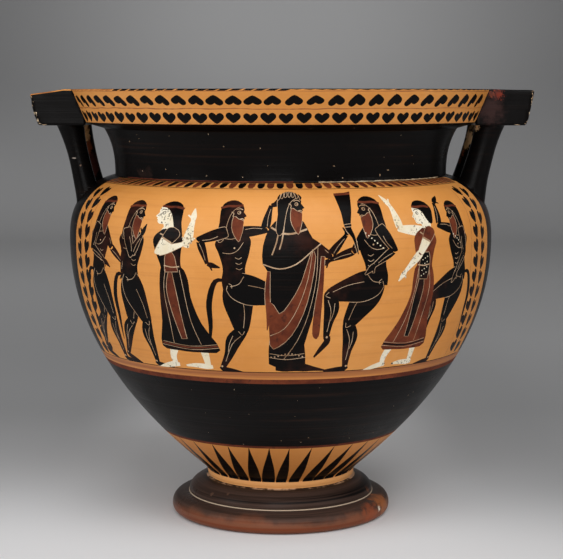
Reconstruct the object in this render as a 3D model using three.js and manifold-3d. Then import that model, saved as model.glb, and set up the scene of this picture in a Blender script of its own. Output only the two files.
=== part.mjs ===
import * as THREE from 'three';
import { mergeVertices } from 'three/addons/utils/BufferGeometryUtils.js';
import Module from 'manifold-3d';

// A column krater, the wide clay bowl in which wine was mixed with water. It is one fired piece:
// foot, bowl, neck and rim are thrown on the wheel, and a flat plate on two round columns is
// joined on at each side as a handle. Millimetres, +Z up, origin at the centre of the base,
// handles along X, main picture towards -Y.

// Heights of the wheel-thrown parts, stacked from the ground up
const footHeight = 39;
const torusHeight = 21.3;
const torusWidestHeight = 8.3;
const cushionFall = 4.5;
const filletHeight = 8;
const bowlHeight = 248;
const shoulderHeight = 66;
const neckHeight = 49;
const rimUndersideRise = 6;
const rimHeight = 34;

// Radii of the outside
const restOuterRadius = 107;
const restInnerRadius = 92;
const torusRadius = 116.7;
const cushionRadius = 98.5;
const stemRadius = 77.5;
const bellyRadius = 222.4;
const neckRadius = 174.3;
const neckTopRadius = 185.4;
const rimBottomRadius = 206.5;
const rimTopRadius = 221.3;
const mouthRadius = 194;

// How full the curves of the outside are
const bowlFullness = 2.06;
const shoulderFullness = 2.6;
const shoulderSquareness = 1.5;
const neckFlareCurve = 2.6;

// Wall, floor and the hollow under the foot
const wall = 8;
const floorThickness = 11;
const floorDish = 2;
const footWall = 13;
const footHollowRoof = 4;

// Handles: a plate level with the rim on two columns that stand on the shoulder
const plateOverhang = 38;
const plateWidth = 116;
const plateThickness = 37;
const plateEdgeSlope = 7.5;
const plateDroopLeft = 5;
const plateDroopRight = 2.5;
const plateRoot = 22;
const columnRadius = 11.5;
const columnSpacing = 68;
const columnTopOffset = 13;
const columnFootInset = 21;
const columnRootDepth = 36;
const columnLeanCurve = 1.5;
const columnTopFlare = 6;
const columnFootFlare = 5;

// Fineness of the facets
const turns = 64;
const footSteps = 4;
const bowlSteps = 12;
const shoulderSteps = 7;
const neckSteps = 5;
const columnSides = 14;
const columnSteps = 9;
const cutMargin = 5;

// Levels that follow from the stacked heights
const stemTop = footHeight + filletHeight;
const belly = stemTop + bowlHeight;
const shoulderTop = belly + shoulderHeight;
const neckTop = shoulderTop + neckHeight;
const rimBottom = neckTop + rimUndersideRise;
const rimTop = rimBottom + rimHeight;
const floorTop = footHeight + floorThickness;

const wasm = await Module();
wasm.setup();

function toManifold(geometry) {
  geometry.deleteAttribute('normal');
  geometry.deleteAttribute('uv');
  const merged = mergeVertices(geometry, 1e-4);
  const vertProperties = new Float32Array(merged.attributes.position.array);
  const triVerts = new Uint32Array(merged.index.array);
  return new wasm.Manifold(new wasm.Mesh({ numProp: 3, vertProperties, triVerts }));
}

function toGeometry(manifold) {
  const mesh = manifold.getMesh();
  const geometry = new THREE.BufferGeometry();
  geometry.setAttribute('position', new THREE.BufferAttribute(new Float32Array(mesh.vertProperties), 3));
  geometry.setIndex(new THREE.BufferAttribute(new Uint32Array(mesh.triVerts), 1));
  geometry.computeVertexNormals();
  return geometry;
}

// Turns an outline of (radius, height) points that starts and ends on the axis into a solid
function thrown(outline, sides = turns) {
  const lathe = new THREE.LatheGeometry(outline, sides);
  lathe.rotateX(Math.PI / 2);
  return lathe;
}

// A quarter-round from one point to another that bulges towards the corner between them
function quarterRound(from, corner, to) {
  return new THREE.QuadraticBezierCurve(from, corner, to).getPoints(footSteps);
}

// The foot: a torus on the ground, a cushion on top of it and a short upright stem
function footOutline() {
  const torusEdge = new THREE.Vector2(torusRadius, torusWidestHeight);
  const step = new THREE.Vector2(cushionRadius, torusHeight);
  const underTorus = quarterRound(
    new THREE.Vector2(restOuterRadius, 0), new THREE.Vector2(torusRadius, 0), torusEdge);
  const overTorus = quarterRound(torusEdge, new THREE.Vector2(torusRadius, torusHeight), step);
  const cushion = quarterRound(step, new THREE.Vector2(cushionRadius, footHeight - cushionFall),
    new THREE.Vector2(stemRadius, footHeight));
  return [...underTorus, ...overTorus.slice(1), ...cushion.slice(1)];
}

// The bowl opens from the stem to the belly
function bowlOutline() {
  const points = [];
  for (let i = 0; i <= bowlSteps; i += 1) {
    const share = i / bowlSteps;
    const narrowing = (bellyRadius - stemRadius) * (1 - share) ** bowlFullness;
    points.push(new THREE.Vector2(bellyRadius - narrowing, stemTop + bowlHeight * share));
  }
  return points;
}

// The shoulder rolls over from the belly to the foot of the neck
function shoulderOutline() {
  const points = [];
  for (let i = 1; i <= shoulderSteps; i += 1) {
    const share = Math.sin((i / shoulderSteps) * Math.PI / 2);
    const reach = (1 - share ** shoulderFullness) ** (1 / shoulderSquareness);
    const radius = neckRadius + (bellyRadius - neckRadius) * reach;
    points.push(new THREE.Vector2(radius, belly + shoulderHeight * share));
  }
  return points;
}

// The neck stands upright and flares towards the rim
function neckOutline() {
  const points = [];
  for (let i = 1; i <= neckSteps; i += 1) {
    const share = i / neckSteps;
    const radius = neckRadius + (neckTopRadius - neckRadius) * share ** neckFlareCurve;
    points.push(new THREE.Vector2(radius, shoulderTop + neckHeight * share));
  }
  return points;
}

// The same wall seen from inside: each point of the outside moved in by the wall's thickness
function insideOutline(outside) {
  const points = [];
  for (let i = 1; i < outside.length - 1; i += 1) {
    const along = outside[i + 1].clone().sub(outside[i - 1]).normalize();
    const inwards = new THREE.Vector2(-along.y, along.x).multiplyScalar(wall);
    points.push(outside[i].clone().add(inwards));
  }
  return points;
}

function potSolid() {
  const outline = [
    new THREE.Vector2(0, 0),
    ...footOutline(),
    ...bowlOutline(),
    ...shoulderOutline(),
    ...neckOutline(),
    new THREE.Vector2(rimBottomRadius, rimBottom),
    new THREE.Vector2(rimTopRadius, rimTop),
    new THREE.Vector2(0, rimTop),
  ];
  return toManifold(thrown(outline));
}

function bowlHollow() {
  const walls = insideOutline([...bowlOutline(), ...shoulderOutline(), ...neckOutline()]);
  const aboveFloor = walls.filter((point) => point.y > floorTop + floorDish);
  const outline = [
    new THREE.Vector2(0, floorTop),
    new THREE.Vector2(stemRadius - wall, floorTop + floorDish / 2),
    ...aboveFloor,
    new THREE.Vector2(mouthRadius, rimTop),
    new THREE.Vector2(mouthRadius, rimTop + cutMargin),
    new THREE.Vector2(0, rimTop + cutMargin),
  ];
  return toManifold(thrown(outline));
}

// The foot is hollow underneath and rests on a flat ring
function footHollow() {
  const outline = [
    new THREE.Vector2(0, -cutMargin),
    new THREE.Vector2(restInnerRadius, -cutMargin),
    new THREE.Vector2(restInnerRadius, 0),
    new THREE.Vector2(stemRadius - footWall, footHeight - footHollowRoof),
    new THREE.Vector2(0, footHeight),
  ];
  return toManifold(thrown(outline));
}

// One handle plate, drawn in side view on the +X side and extruded across its width
function plateSolid(side, droop) {
  const outer = rimTopRadius + plateOverhang;
  const inner = rimTopRadius - plateRoot;
  const underside = rimTop - plateThickness;
  const sideView = new THREE.Shape([
    new THREE.Vector2(inner, rimTop),
    new THREE.Vector2(inner, underside),
    new THREE.Vector2(outer - plateEdgeSlope, underside),
    new THREE.Vector2(outer, rimTop - droop),
    new THREE.Vector2(rimTopRadius, rimTop),
  ]);
  const plate = new THREE.ExtrudeGeometry(sideView, { depth: plateWidth, bevelEnabled: false });
  plate.rotateX(Math.PI / 2);
  plate.translate(0, plateWidth / 2, 0);
  if (side < 0) {
    plate.rotateZ(Math.PI);
  }
  return toManifold(plate);
}

// One column: round, leaning outwards as it rises, wider where it meets plate and shoulder
function columnSolid(side, across) {
  const bottom = shoulderTop - columnRootDepth;
  const top = rimTop - plateThickness / 2;
  const footX = bellyRadius - columnFootInset;
  const topX = rimBottomRadius + columnTopOffset;
  const underside = rimTop - plateThickness;
  const shareAt = (z) => (z - bottom) / (underside - bottom);
  const flareAt = (z, size) => size * Math.max(0, Math.min(1, z)) ** 4;
  const outline = [new THREE.Vector2(0, bottom)];
  for (let i = 0; i <= columnSteps; i += 1) {
    const z = bottom + (top - bottom) * i / columnSteps;
    const share = shareAt(z);
    const flare = flareAt(share, columnTopFlare) + flareAt(1 - share, columnFootFlare);
    outline.push(new THREE.Vector2(columnRadius + flare, z));
  }
  outline.push(new THREE.Vector2(0, top));
  const column = thrown(outline, columnSides);
  const position = column.attributes.position;
  for (let i = 0; i < position.count; i += 1) {
    const share = shareAt(position.getZ(i));
    const lean = (topX - footX) * Math.max(0, share) ** columnLeanCurve;
    const centre = footX + lean - flareAt(1 - share, columnFootFlare);
    position.setX(i, side * (position.getX(i) + centre));
    position.setY(i, side * position.getY(i) + across);
  }
  return toManifold(column);
}

function kraterSolid() {
  let solid = potSolid();
  for (const [side, droop] of [[-1, plateDroopLeft], [1, plateDroopRight]]) {
    solid = solid.add(plateSolid(side, droop));
    for (const across of [-columnSpacing / 2, columnSpacing / 2]) {
      solid = solid.add(columnSolid(side, across));
    }
  }
  return solid.subtract(bowlHollow()).subtract(footHollow());
}

const glossClay = new THREE.MeshStandardMaterial({ color: 0x1d1815, roughness: 0.35, metalness: 0 });

const krater = new THREE.Mesh(toGeometry(kraterSolid()), glossClay);
krater.name = 'krater';

const model = new THREE.Group();
model.add(krater);

export default model;
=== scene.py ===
import math
import random

import bmesh
import bpy
import numpy as np
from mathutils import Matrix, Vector, noise
from mathutils.geometry import delaunay_2d_cdt


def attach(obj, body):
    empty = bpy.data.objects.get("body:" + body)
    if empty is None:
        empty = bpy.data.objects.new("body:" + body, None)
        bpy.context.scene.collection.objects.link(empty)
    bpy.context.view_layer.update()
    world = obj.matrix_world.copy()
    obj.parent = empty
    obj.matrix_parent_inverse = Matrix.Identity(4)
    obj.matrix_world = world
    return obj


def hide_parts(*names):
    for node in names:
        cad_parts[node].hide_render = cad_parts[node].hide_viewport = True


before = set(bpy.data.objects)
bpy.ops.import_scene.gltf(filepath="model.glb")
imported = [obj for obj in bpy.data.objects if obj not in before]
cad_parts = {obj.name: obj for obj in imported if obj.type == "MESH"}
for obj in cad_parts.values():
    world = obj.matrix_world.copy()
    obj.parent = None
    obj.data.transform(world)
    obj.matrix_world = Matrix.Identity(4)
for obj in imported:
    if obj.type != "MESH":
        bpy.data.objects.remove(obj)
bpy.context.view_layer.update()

# The camera stands level with the vessel's rim, a little under two metres away, and looks slightly
# down. Its place and lens were worked out from the rings of the rim, belly and foot in the photograph.
CAMERA_PLACE = (0.0009, -1.7157, 0.4436)
CAMERA_DOWN = 0.1133
CAMERA_LENS = 103.4

camera = bpy.data.objects.new("camera", bpy.data.cameras.new("camera"))
bpy.context.scene.collection.objects.link(camera)
camera.location = CAMERA_PLACE
camera.rotation_euler = (math.pi / 2 - CAMERA_DOWN, 0, 0)
camera.data.lens = CAMERA_LENS
camera.data.sensor_width = 36
bpy.context.scene.camera = camera

# The wall of the vessel: fired clay thrown on the wheel in one piece from foot to rim, about 8 mm
# thick. Its outline is a list of (radius, height) points in millimetres, and the same curves give
# the inside, moved in by the wall.
WALL = 8.0
FOOT_TOP, STEM_TOP, BELLY, SHOULDER_TOP, NECK_TOP, RIM_BOTTOM, RIM_TOP = 39, 47, 295, 361, 410, 416, 450
REST_INNER, REST_OUTER, TORUS, CUSHION, STEM = 92, 107, 116.7, 98.5, 77.5
BELLY_RADIUS, NECK_RADIUS, NECK_TOP_RADIUS = 222.4, 174.3, 185.4
RIM_BOTTOM_RADIUS, RIM_TOP_RADIUS, MOUTH_RADIUS = 206.5, 221.3, 194
TORUS_TOP, TORUS_WIDEST, CUSHION_TOP = 21.3, 8.3, 34.5
BOWL_FULLNESS, SHOULDER_FULLNESS, SHOULDER_SQUARENESS, NECK_FLARE = 2.06, 2.6, 1.5, 2.6
STEM_RIDGE = (STEM + 0.7, 45.4)
RIM_LIP = 4
EDGE_SOFTNESS = 1.6
TURNS = 216


def shares(count, first=0):
    """Equal steps up to 1, from 0 or from the step that is named first."""
    return [i / count for i in range(first, count + 1)]


def quarter_round(start, corner, end, steps):
    """Points of a curve from start to end that bulges towards the corner between them."""
    return [tuple((1 - t) ** 2 * a + 2 * t * (1 - t) * b + t * t * c
                  for a, b, c in zip(start, corner, end)) for t in shares(steps)]


def soften(points, corners, radius, steps=4):
    """The outline with each of the named sharp corners rounded off."""
    out = []
    for i, point in enumerate(points):
        if i not in corners:
            out.append(point)
            continue
        before, after = np.array(points[i - 1]), np.array(points[i + 1])
        here = np.array(point, float)
        ends = [here + (side - here) * radius / np.linalg.norm(side - here)
                for side in (before, after)]
        out += quarter_round(ends[0], here, ends[1], steps)
    return out


def wall_outline(bowl_steps, shoulder_steps, neck_steps):
    """Bowl, shoulder and neck as seen from outside, each from its foot up."""
    bowl = [(BELLY_RADIUS - (BELLY_RADIUS - STEM) * (1 - t) ** BOWL_FULLNESS,
             STEM_TOP + (BELLY - STEM_TOP) * t) for t in shares(bowl_steps)]
    turned = [math.sin(t * math.pi / 2) for t in shares(shoulder_steps, 1)]
    reach = [(1 - t ** SHOULDER_FULLNESS) ** (1 / SHOULDER_SQUARENESS) for t in turned]
    shoulder = [(NECK_RADIUS + (BELLY_RADIUS - NECK_RADIUS) * out, BELLY + (SHOULDER_TOP - BELLY) * t)
                for t, out in zip(turned, reach)]
    neck = [(NECK_RADIUS + (NECK_TOP_RADIUS - NECK_RADIUS) * t ** NECK_FLARE,
             SHOULDER_TOP + (NECK_TOP - SHOULDER_TOP) * t) for t in shares(neck_steps, 1)]
    return bowl, shoulder, neck


def outside_outline():
    """The painted outside, from the top of the stem to the outer edge of the rim."""
    bowl, shoulder, neck = wall_outline(48, 24, 10)
    points = [STEM_RIDGE] + bowl + shoulder + neck
    neck_foot = len(bowl) + len(shoulder)
    neck_end = len(points) - 1
    points += [(RIM_BOTTOM_RADIUS, RIM_BOTTOM), (RIM_TOP_RADIUS, RIM_TOP),
               (RIM_TOP_RADIUS - RIM_LIP, RIM_TOP)]
    return soften(points, {neck_foot, neck_end, neck_end + 1, neck_end + 2}, EDGE_SOFTNESS)


wall = np.array(outside_outline())
wall_along = np.concatenate([[0], np.cumsum(np.hypot(*np.diff(wall, axis=0).T))])
WALL_LENGTH = float(wall_along[-1])


def radius_at(s):
    """The radius of the painted wall at a distance up along it."""
    return np.interp(s, wall_along, wall[:, 0])


def height_at(s):
    """The height of the painted wall at a distance up along it."""
    return np.interp(s, wall_along, wall[:, 1])


def along_at(z):
    """How far up the painted wall, measured along it, a height is."""
    return float(np.interp(z, wall[:, 1], wall_along))


# The painting: black slip, matt purple-red and white brushed on the orange clay before firing, and
# fine lines scratched through the slip. It is flat colour, so it is cut into the wall's surface as
# areas of its own and nothing is raised. It is laid out on an unrolled sheet: x is millimetres round
# the belly, 0 at the middle of the front, and y is millimetres up along the wall.
GLOSS, CLAY, RED, WHITE, INCISED, BROWN, CREAM = range(7)
SEAM = math.pi / 2
SHEET_LEFT, SHEET_RIGHT = (SEAM - 2 * math.pi) * BELLY_RADIUS, SEAM * BELLY_RADIUS
LONGEST_EDGE = 5.0
FRONT, BACK = 0.0, -math.pi
hand = random.Random(11)
shapes = []
row_lines = []


def round_x(angle):
    """Where an angle from the middle of the front lies on the sheet."""
    return angle * BELLY_RADIUS


def paint(kind, points):
    """Lays a closed area of one colour on the sheet, over what is there already."""
    dense = []
    for a, b in zip(points, points[1:] + points[:1]):
        pieces = max(1, math.ceil(math.dist(a, b) / LONGEST_EDGE))
        dense += [(a[0] + (b[0] - a[0]) * i / pieces, a[1] + (b[1] - a[1]) * i / pieces)
                  for i in range(pieces)]
    shapes.append((kind, np.array(dense)))


def paint_box(kind, left, right, low, high):
    """An upright rectangle of one colour."""
    paint(kind, [(left, low), (right, low), (right, high), (left, high)])


def ring_band(low, high, kind):
    """A band all the way round between two distances up the wall."""
    row_lines.extend((low, high))
    shapes.append((kind, (low, high)))


def flowing(points, steps):
    """A flowing curve through the points; the first and the last only give it its direction."""
    return [tuple(0.5 * (2 * q + (r - p) * t + (2 * p - 5 * q + 4 * r - s) * t * t
                         + (3 * q - p - 3 * r + s) * t ** 3) for p, q, r, s in zip(*four))
            for four in zip(points, points[1:], points[2:], points[3:]) for t in shares(steps)[:-1]]


def smooth_line(points, steps=4):
    """A flowing line through the given points."""
    if len(points) < 3:
        return [tuple(p) for p in points]
    return flowing([points[0], *points, points[-1]], steps) + [tuple(points[-1])]


def smooth_loop(points, steps=3):
    """The same for a closed outline."""
    return flowing([points[-1], *points, *points[:2]], steps)


def stripe(points, widths):
    """The outline of a brushed stroke along a line, with its own width at each point."""
    left, right = [], []
    for i, (x, y) in enumerate(points):
        ahead, behind = points[min(i + 1, len(points) - 1)], points[max(i - 1, 0)]
        dx, dy = ahead[0] - behind[0], ahead[1] - behind[1]
        size = math.hypot(dx, dy) or 1
        half = widths[i] / 2 if isinstance(widths, list) else widths / 2
        left.append((x - dy / size * half, y + dx / size * half))
        right.append((x + dy / size * half, y - dx / size * half))
    return left + right[::-1]


def hand_line(kind, line, thinnest, thickest):
    """A stroke whose width varies as the brush was pressed."""
    paint(kind, stripe(line, [hand.uniform(thinnest, thickest) for _ in line]))


# The bands that run round the vessel, from the foot up: rays, a red line, a broad black band, the
# brown and red ground lines of the picture, the black neck, and the clay rim between its edges.
RIM_FOOT = RIM_BOTTOM + 0.6
GROUND_HEIGHT, BORDER_HEIGHT, TONGUE_HEIGHT = 180.6, 355.6, 360.6
BAND_HEIGHTS = (92.2, 95.0, 168.5, 173.2, GROUND_HEIGHT, TONGUE_HEIGHT, NECK_TOP, RIM_FOOT)
BAND_COLOURS = (CLAY, RED, GLOSS, RED, BROWN, GLOSS, GLOSS, GLOSS, GLOSS)
RAYS = 36
# (share of the way up, half the width there)
RAY_HALF_WIDTHS = [(0, 6.0), (0.1, 6.5), (0.38, 5.6), (0.55, 4.2), (0.7, 2.8), (0.85, 1.4), (1, 0.25)]
TONGUES = 128
RAY_FOOT, RAY_TIP = along_at(46.0), along_at(92.0)
RAY_SKEW = 6.0
GROUND, BORDER_TOP, TONGUE_TOP = (along_at(z) for z in (GROUND_HEIGHT, BORDER_HEIGHT, TONGUE_HEIGHT))

levels = [0] + [along_at(z) for z in BAND_HEIGHTS] + [WALL_LENGTH]
for low, high, kind in zip(levels, levels[1:], BAND_COLOURS):
    ring_band(low, high, kind)

for i in range(RAYS):
    angle = SEAM - (i + 0.5) * 2 * math.pi / RAYS + hand.uniform(-0.012, 0.012)
    lean = hand.uniform(-2.4, 2.4)
    fat = hand.uniform(0.88, 1.12)
    from_seam = (i + 0.5) / RAYS
    skew = RAY_SKEW * min(1, 16 * from_seam, 4 * (1 - from_seam))
    sides = []
    for share, half in RAY_HALF_WIDTHS:
        s = RAY_FOOT + (RAY_TIP - RAY_FOOT) * share
        stretch = BELLY_RADIUS / radius_at(s)
        x = round_x(angle) + (lean * share - skew * (1 - share)) * stretch
        sides.append((x, half * fat * stretch, s))
    paint(GLOSS, [(max(x - half, SHEET_LEFT + 1), s) for x, half, s in sides]
          + [(min(x + half, SHEET_RIGHT - 1), s) for x, half, s in sides[::-1]])


# The picture panels, one on the front and one on the back, each framed by a thin line and a double
# column of ivy leaves. Over them a row of red and black tongues hangs from the foot of the neck.
PANEL_HALF_ANGLE = math.radians(69.0)
BORDER_ANGLES = [math.radians(a) for a in (65.9, 61.2)]
BORDER_LINE_ANGLE = math.radians(58.6)
BORDER_PITCH = 15.2
PANEL_EXTRA, BORDER_SHIFT = math.radians(2.6), math.radians(0.6)
FINE_LINE = 0.8
LEAF_SIDE = [(0.3, -0.24), (0.5, 0.06), (0.47, 0.34), (0.27, 0.5), (0.07, 0.38)]
LEAF = smooth_loop([(0, -0.52)] + LEAF_SIDE + [(0, 0.28)] + [(-x, y) for x, y in LEAF_SIDE[::-1]], 2)
LEAF_WIDTH, LEAF_HEIGHT, LEAF_TURN = 12.0, 14.3, 0.35


def border_leaf(centre, turn):
    """An ivy leaf, a plump heart: turn 0 has its tip down."""
    stretch = BELLY_RADIUS / radius_at(centre[1])
    c, s = math.cos(turn), math.sin(turn)
    paint(GLOSS, [(centre[0] + (x * LEAF_WIDTH * c - y * LEAF_HEIGHT * s) * stretch,
                   centre[1] + x * LEAF_WIDTH * s + y * LEAF_HEIGHT * c) for x, y in LEAF])


def panel(middle):
    """The clay ground of one picture with its thin lines and its columns of leaves."""
    left, right = (round_x(middle + side * PANEL_HALF_ANGLE) for side in (-1, 1))
    paint_box(CLAY, left, round_x(middle + PANEL_HALF_ANGLE + PANEL_EXTRA), GROUND, TONGUE_TOP)
    for level in (GROUND, BORDER_TOP):
        paint_box(GLOSS, left, right, level, level + FINE_LINE)
    for side in (-1, 1):
        for angle in (BORDER_LINE_ANGLE, sum(BORDER_ANGLES) / 2):
            x = round_x(middle + side * angle)
            paint_box(BROWN, x - FINE_LINE / 2, x + FINE_LINE / 2, GROUND, BORDER_TOP)
        for column, angle in enumerate(BORDER_ANGLES):
            s = GROUND + 9 + column * 3
            while s < BORDER_TOP - 8:
                x = round_x(middle + side * angle + BORDER_SHIFT) + hand.uniform(-0.5, 0.5)
                turn = side * (LEAF_TURN if column else -LEAF_TURN) + hand.uniform(-0.1, 0.1)
                border_leaf((x, s), turn)
                s += BORDER_PITCH


TONGUE_HALF_WIDTH, TONGUE_SHADE_ANGLE, RUBBED_FROM = 0.38, math.radians(34), 0.16
# Lines at the foot of the neck: (first and last degree, colour, height, least and greatest width)
NECK_FOOT_LINES = ((-62, 4, RED, 361.6, (1.0, 1.8)), (12, 66, CREAM, 361.3, (0.4, 1.4)))


def tongues(middle):
    """The row of tongues above a panel. They slant towards the sides, and are rubbed at the right."""
    pitch = 2 * math.pi / TONGUES
    low, high = BORDER_TOP + 1.4, TONGUE_TOP - 0.6
    belly = low + (high - low) * 0.35
    for side in (-1, 1):
        x, end = round_x(middle + side * TONGUE_SHADE_ANGLE), round_x(middle + side * PANEL_HALF_ANGLE)
        paint(BROWN, [(x, low), (end, low), (end, high), (x - side * 30, high)])
    for i in range(round(2 * PANEL_HALF_ANGLE / pitch)):
        angle = (i + 0.5) * pitch - PANEL_HALF_ANGLE
        x, half = round_x(middle + angle), round_x(pitch) * TONGUE_HALF_WIDTH
        slant = 3.2 * angle + 9.0 * angle ** 3
        left = [(x - half, high), (x - half + slant * 0.6, belly), (x - half * 0.55 + slant, low + 0.5)]
        right = [(x + half * 0.55 + slant, low + 0.5), (x + half + slant * 0.6, belly), (x + half, high)]
        outline = left + [(x + slant, low)] + right
        rubbed = angle > RUBBED_FROM and i % 2 == 0
        paint(RED if i % 2 or rubbed else GLOSS, outline)
        if rubbed:
            paint(GLOSS, outline[1:6])
    for first, last, kind, height, widths in NECK_FOOT_LINES:
        start, end = (round_x(middle + math.radians(a)) for a in (first, last))
        line = [(start + (end - start) * k / 40, along_at(height) + hand.uniform(-0.2, 0.2))
                for k in range(41)]
        hand_line(kind, line, *widths)


for side_middle in (FRONT, BACK):
    panel(side_middle)
    tongues(side_middle)

# The figures of the frieze, a procession of dancers round a tall robed figure. Each is put together
# from limbs, dress and head in its own measure: 1 is its height, u runs the way it faces and v runs
# up. Where a part lies over another dark part, a fine line scratched along its edge sets it off.
VIEW_SLOPE = 0.114
FRIEZE = np.linspace(GROUND, BORDER_TOP, 120)
FRIEZE_SEEN = height_at(FRIEZE) + (BELLY_RADIUS - radius_at(FRIEZE)) * VIEW_SLOPE
EDGE_WIDTH, SCRATCH_WIDTH = 0.0029, 0.0027
THIGH, SHIN, FOOT, UPPER_ARM, FOREARM, HAND = 0.262, 0.245, 0.118, 0.15, 0.142, 0.075


def grown(points, by):
    """A closed outline moved outwards."""
    here = np.array(points, float)
    along = np.roll(here, -1, axis=0) - np.roll(here, 1, axis=0)
    along /= np.maximum(np.hypot(*along.T), 1e-9)[:, None]
    area = np.sum(here[:, 0] * np.roll(here[:, 1], -1) - np.roll(here[:, 0], -1) * here[:, 1])
    outwards = np.column_stack([along[:, 1], -along[:, 0]]) * (1 if area > 0 else -1)
    return [tuple(p) for p in here + outwards * by]


def thick_line(spine, steps=4):
    """The outline round a flowing line of (u, v, width) points."""
    line = smooth_line(spine, steps)
    return stripe([p[:2] for p in line], [max(p[2], 0.003) for p in line])


def swing(start, length, degrees):
    """The far end of a limb that hangs straight down at 0 and points forwards at 90."""
    turn = math.radians(degrees)
    return (start[0] + length * math.sin(turn), start[1] - length * math.cos(turn))


def between(a, b, share, aside=0.0):
    """A point a share of the way from a to b, and aside of that way."""
    dx, dy = b[0] - a[0], b[1] - a[1]
    size = math.hypot(dx, dy) or 1
    return (a[0] + dx * share - dy / size * aside, a[1] + dy * share + dx / size * aside)


class Brush:
    """Paints in the measure of one figure, at its place in the frieze."""

    def __init__(self, middle, degrees, height, faces, breadth=1.0):
        self.middle = round_x(middle + math.radians(degrees))
        self.height = height
        self.across = height * faces * breadth

    def at(self, point):
        """Where a point of the figure lies on the sheet, so that from the front it looks upright."""
        s = float(np.interp(point[1] * self.height + FRIEZE_SEEN[0], FRIEZE_SEEN, FRIEZE))
        return (self.middle + point[0] * self.across * BELLY_RADIUS / float(radius_at(s)), s)

    def area(self, kind, points):
        """A closed area of one colour."""
        paint(kind, [self.at(p) for p in points])

    def parts(self, kind, outlines, edged=True):
        """Areas that lie over others, set off by a scratched edge."""
        if edged:
            for outline in outlines:
                self.area(INCISED, grown(outline, EDGE_WIDTH))
        for outline in outlines:
            self.area(kind, outline)

    def scratch(self, points, width=SCRATCH_WIDTH, kind=INCISED):
        """A fine line through the given points."""
        self.area(kind, stripe(smooth_line(points, 3), width))

    def dot(self, kind, centre, radius):
        """A small round spot."""
        turns = [k * math.pi / 4 for k in range(8)]
        self.area(kind, [(centre[0] + radius * math.cos(a), centre[1] + radius * math.sin(a)) for a in turns])


def arm(brush, shoulder, upper, fore, palm, kind=GLOSS, edged=True):
    """An arm by the directions of its three parts; returns where the hand ends."""
    elbow = swing(shoulder, UPPER_ARM, upper)
    wrist = swing(elbow, FOREARM, fore)
    tip = swing(wrist, HAND, palm)
    thumb = swing(wrist, HAND * 0.62, palm + (38 if fore > 90 else -38))
    brush.parts(kind, [
        thick_line([(*swing(shoulder, -0.012, upper), 0.04), (*shoulder, 0.06),
                    (*between(shoulder, elbow, 0.45), 0.062), (*elbow, 0.04)]),
        thick_line([(*swing(elbow, 0.014, upper), 0.02), (*elbow, 0.042),
                    (*between(elbow, wrist, 0.35), 0.047), (*between(elbow, wrist, 0.8), 0.029),
                    (*wrist, 0.023)]),
        thick_line([(*wrist, 0.021), (*between(wrist, tip, 0.4), 0.03), (*tip, 0.006)], 3),
        thick_line([(*between(wrist, tip, 0.15), 0.014), (*thumb, 0.007)]),
    ], edged)
    if kind == GLOSS:
        upper_line = ((0.3, 0.012), (0.6, 0.016), (0.9, 0.008))
        fore_line = ((0.15, -0.008), (0.5, -0.002), (0.85, -0.004))
        brush.scratch([between(shoulder, elbow, *at) for at in upper_line])
        brush.scratch([between(elbow, wrist, *at) for at in fore_line])
    return tip


def leg(brush, hip, thigh, shin, foot, edged=True):
    """A leg by the directions of thigh, shin and foot."""
    knee = swing(hip, THIGH, thigh)
    ankle = swing(knee, SHIN, shin)
    heel = swing(ankle, -0.022, foot)
    toe = swing(ankle, FOOT, foot)
    low = swing(ankle, 0.016, foot - 90)
    brush.parts(GLOSS, [
        thick_line([(*swing(hip, -0.04, thigh), 0.08), (*hip, 0.146),
                    (*between(hip, knee, 0.32, -0.004), 0.168), (*between(hip, knee, 0.7), 0.122),
                    (*knee, 0.072), (*swing(knee, 0.02, thigh), 0.03)]),
        thick_line([(*swing(knee, -0.02, shin), 0.035), (*knee, 0.064),
                    (*between(knee, ankle, 0.3, -0.014), 0.083),
                    (*between(knee, ankle, 0.65, -0.002), 0.052), (*ankle, 0.03), (*low, 0.024)]),
        thick_line([(*between(heel, low, 0.3), 0.02), (*between(low, toe, 0.12), 0.034),
                    (*between(low, toe, 0.5), 0.028), (*toe, 0.01)]),
    ], edged)
    inner_thigh = ((0.25, 0.02), (0.6, 0.026), (0.93, 0.012))
    shin_line = ((0.12, 0.008), (0.4, -0.012), (0.85, 0.0))
    calf_line = ((0.2, -0.03), (0.42, -0.026), (0.6, -0.012))
    brush.scratch([between(hip, knee, *at) for at in inner_thigh])
    brush.scratch([swing(knee, 0.016, thigh + 90), swing(knee, 0.022, thigh), swing(knee, 0.018, thigh - 90)])
    for marks in (shin_line, calf_line):
        brush.scratch([between(knee, ankle, *at) for at in marks])
    brush.dot(INCISED, between(ankle, heel, 0.3), 0.006)


# Parts of a head, in its own measure: 1 is its height, the origin lies on the neck
HEAD = 0.142
FACE = [(-0.26, -0.06), (-0.3, 0.3), (-0.4, 0.58), (-0.34, 0.9), (-0.08, 1.06), (0.18, 1.03),
        (0.38, 0.88), (0.44, 0.71), (0.43, 0.62), (0.55, 0.46), (0.47, 0.41), (0.49, 0.35),
        (0.45, 0.31), (0.46, 0.24), (0.37, 0.14), (0.2, 0.12), (0.14, -0.06)]
LONG_HAIR = [(0.36, 0.92), (0.14, 1.08), (-0.12, 1.1), (-0.38, 0.95), (-0.47, 0.66), (-0.47, 0.2),
             (-0.54, -0.34), (-0.46, -0.6), (-0.3, -0.5), (-0.22, -0.1), (-0.14, 0.3),
             (-0.02, 0.62), (0.16, 0.8)]
SHORT_HAIR = [(0.4, 0.86), (0.2, 1.09), (-0.1, 1.13), (-0.4, 1.0), (-0.56, 0.72), (-0.5, 0.42),
              (-0.4, 0.1), (-0.24, 0.1), (-0.1, 0.36), (-0.02, 0.62), (0.16, 0.78)]
BEARD = [(0.06, 0.44), (0.24, 0.34), (0.44, 0.27), (0.45, 0.1), (0.43, -0.14), (0.36, -0.4), (0.3, -0.56),
         (0.14, -0.34), (0.02, -0.02)]


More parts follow.
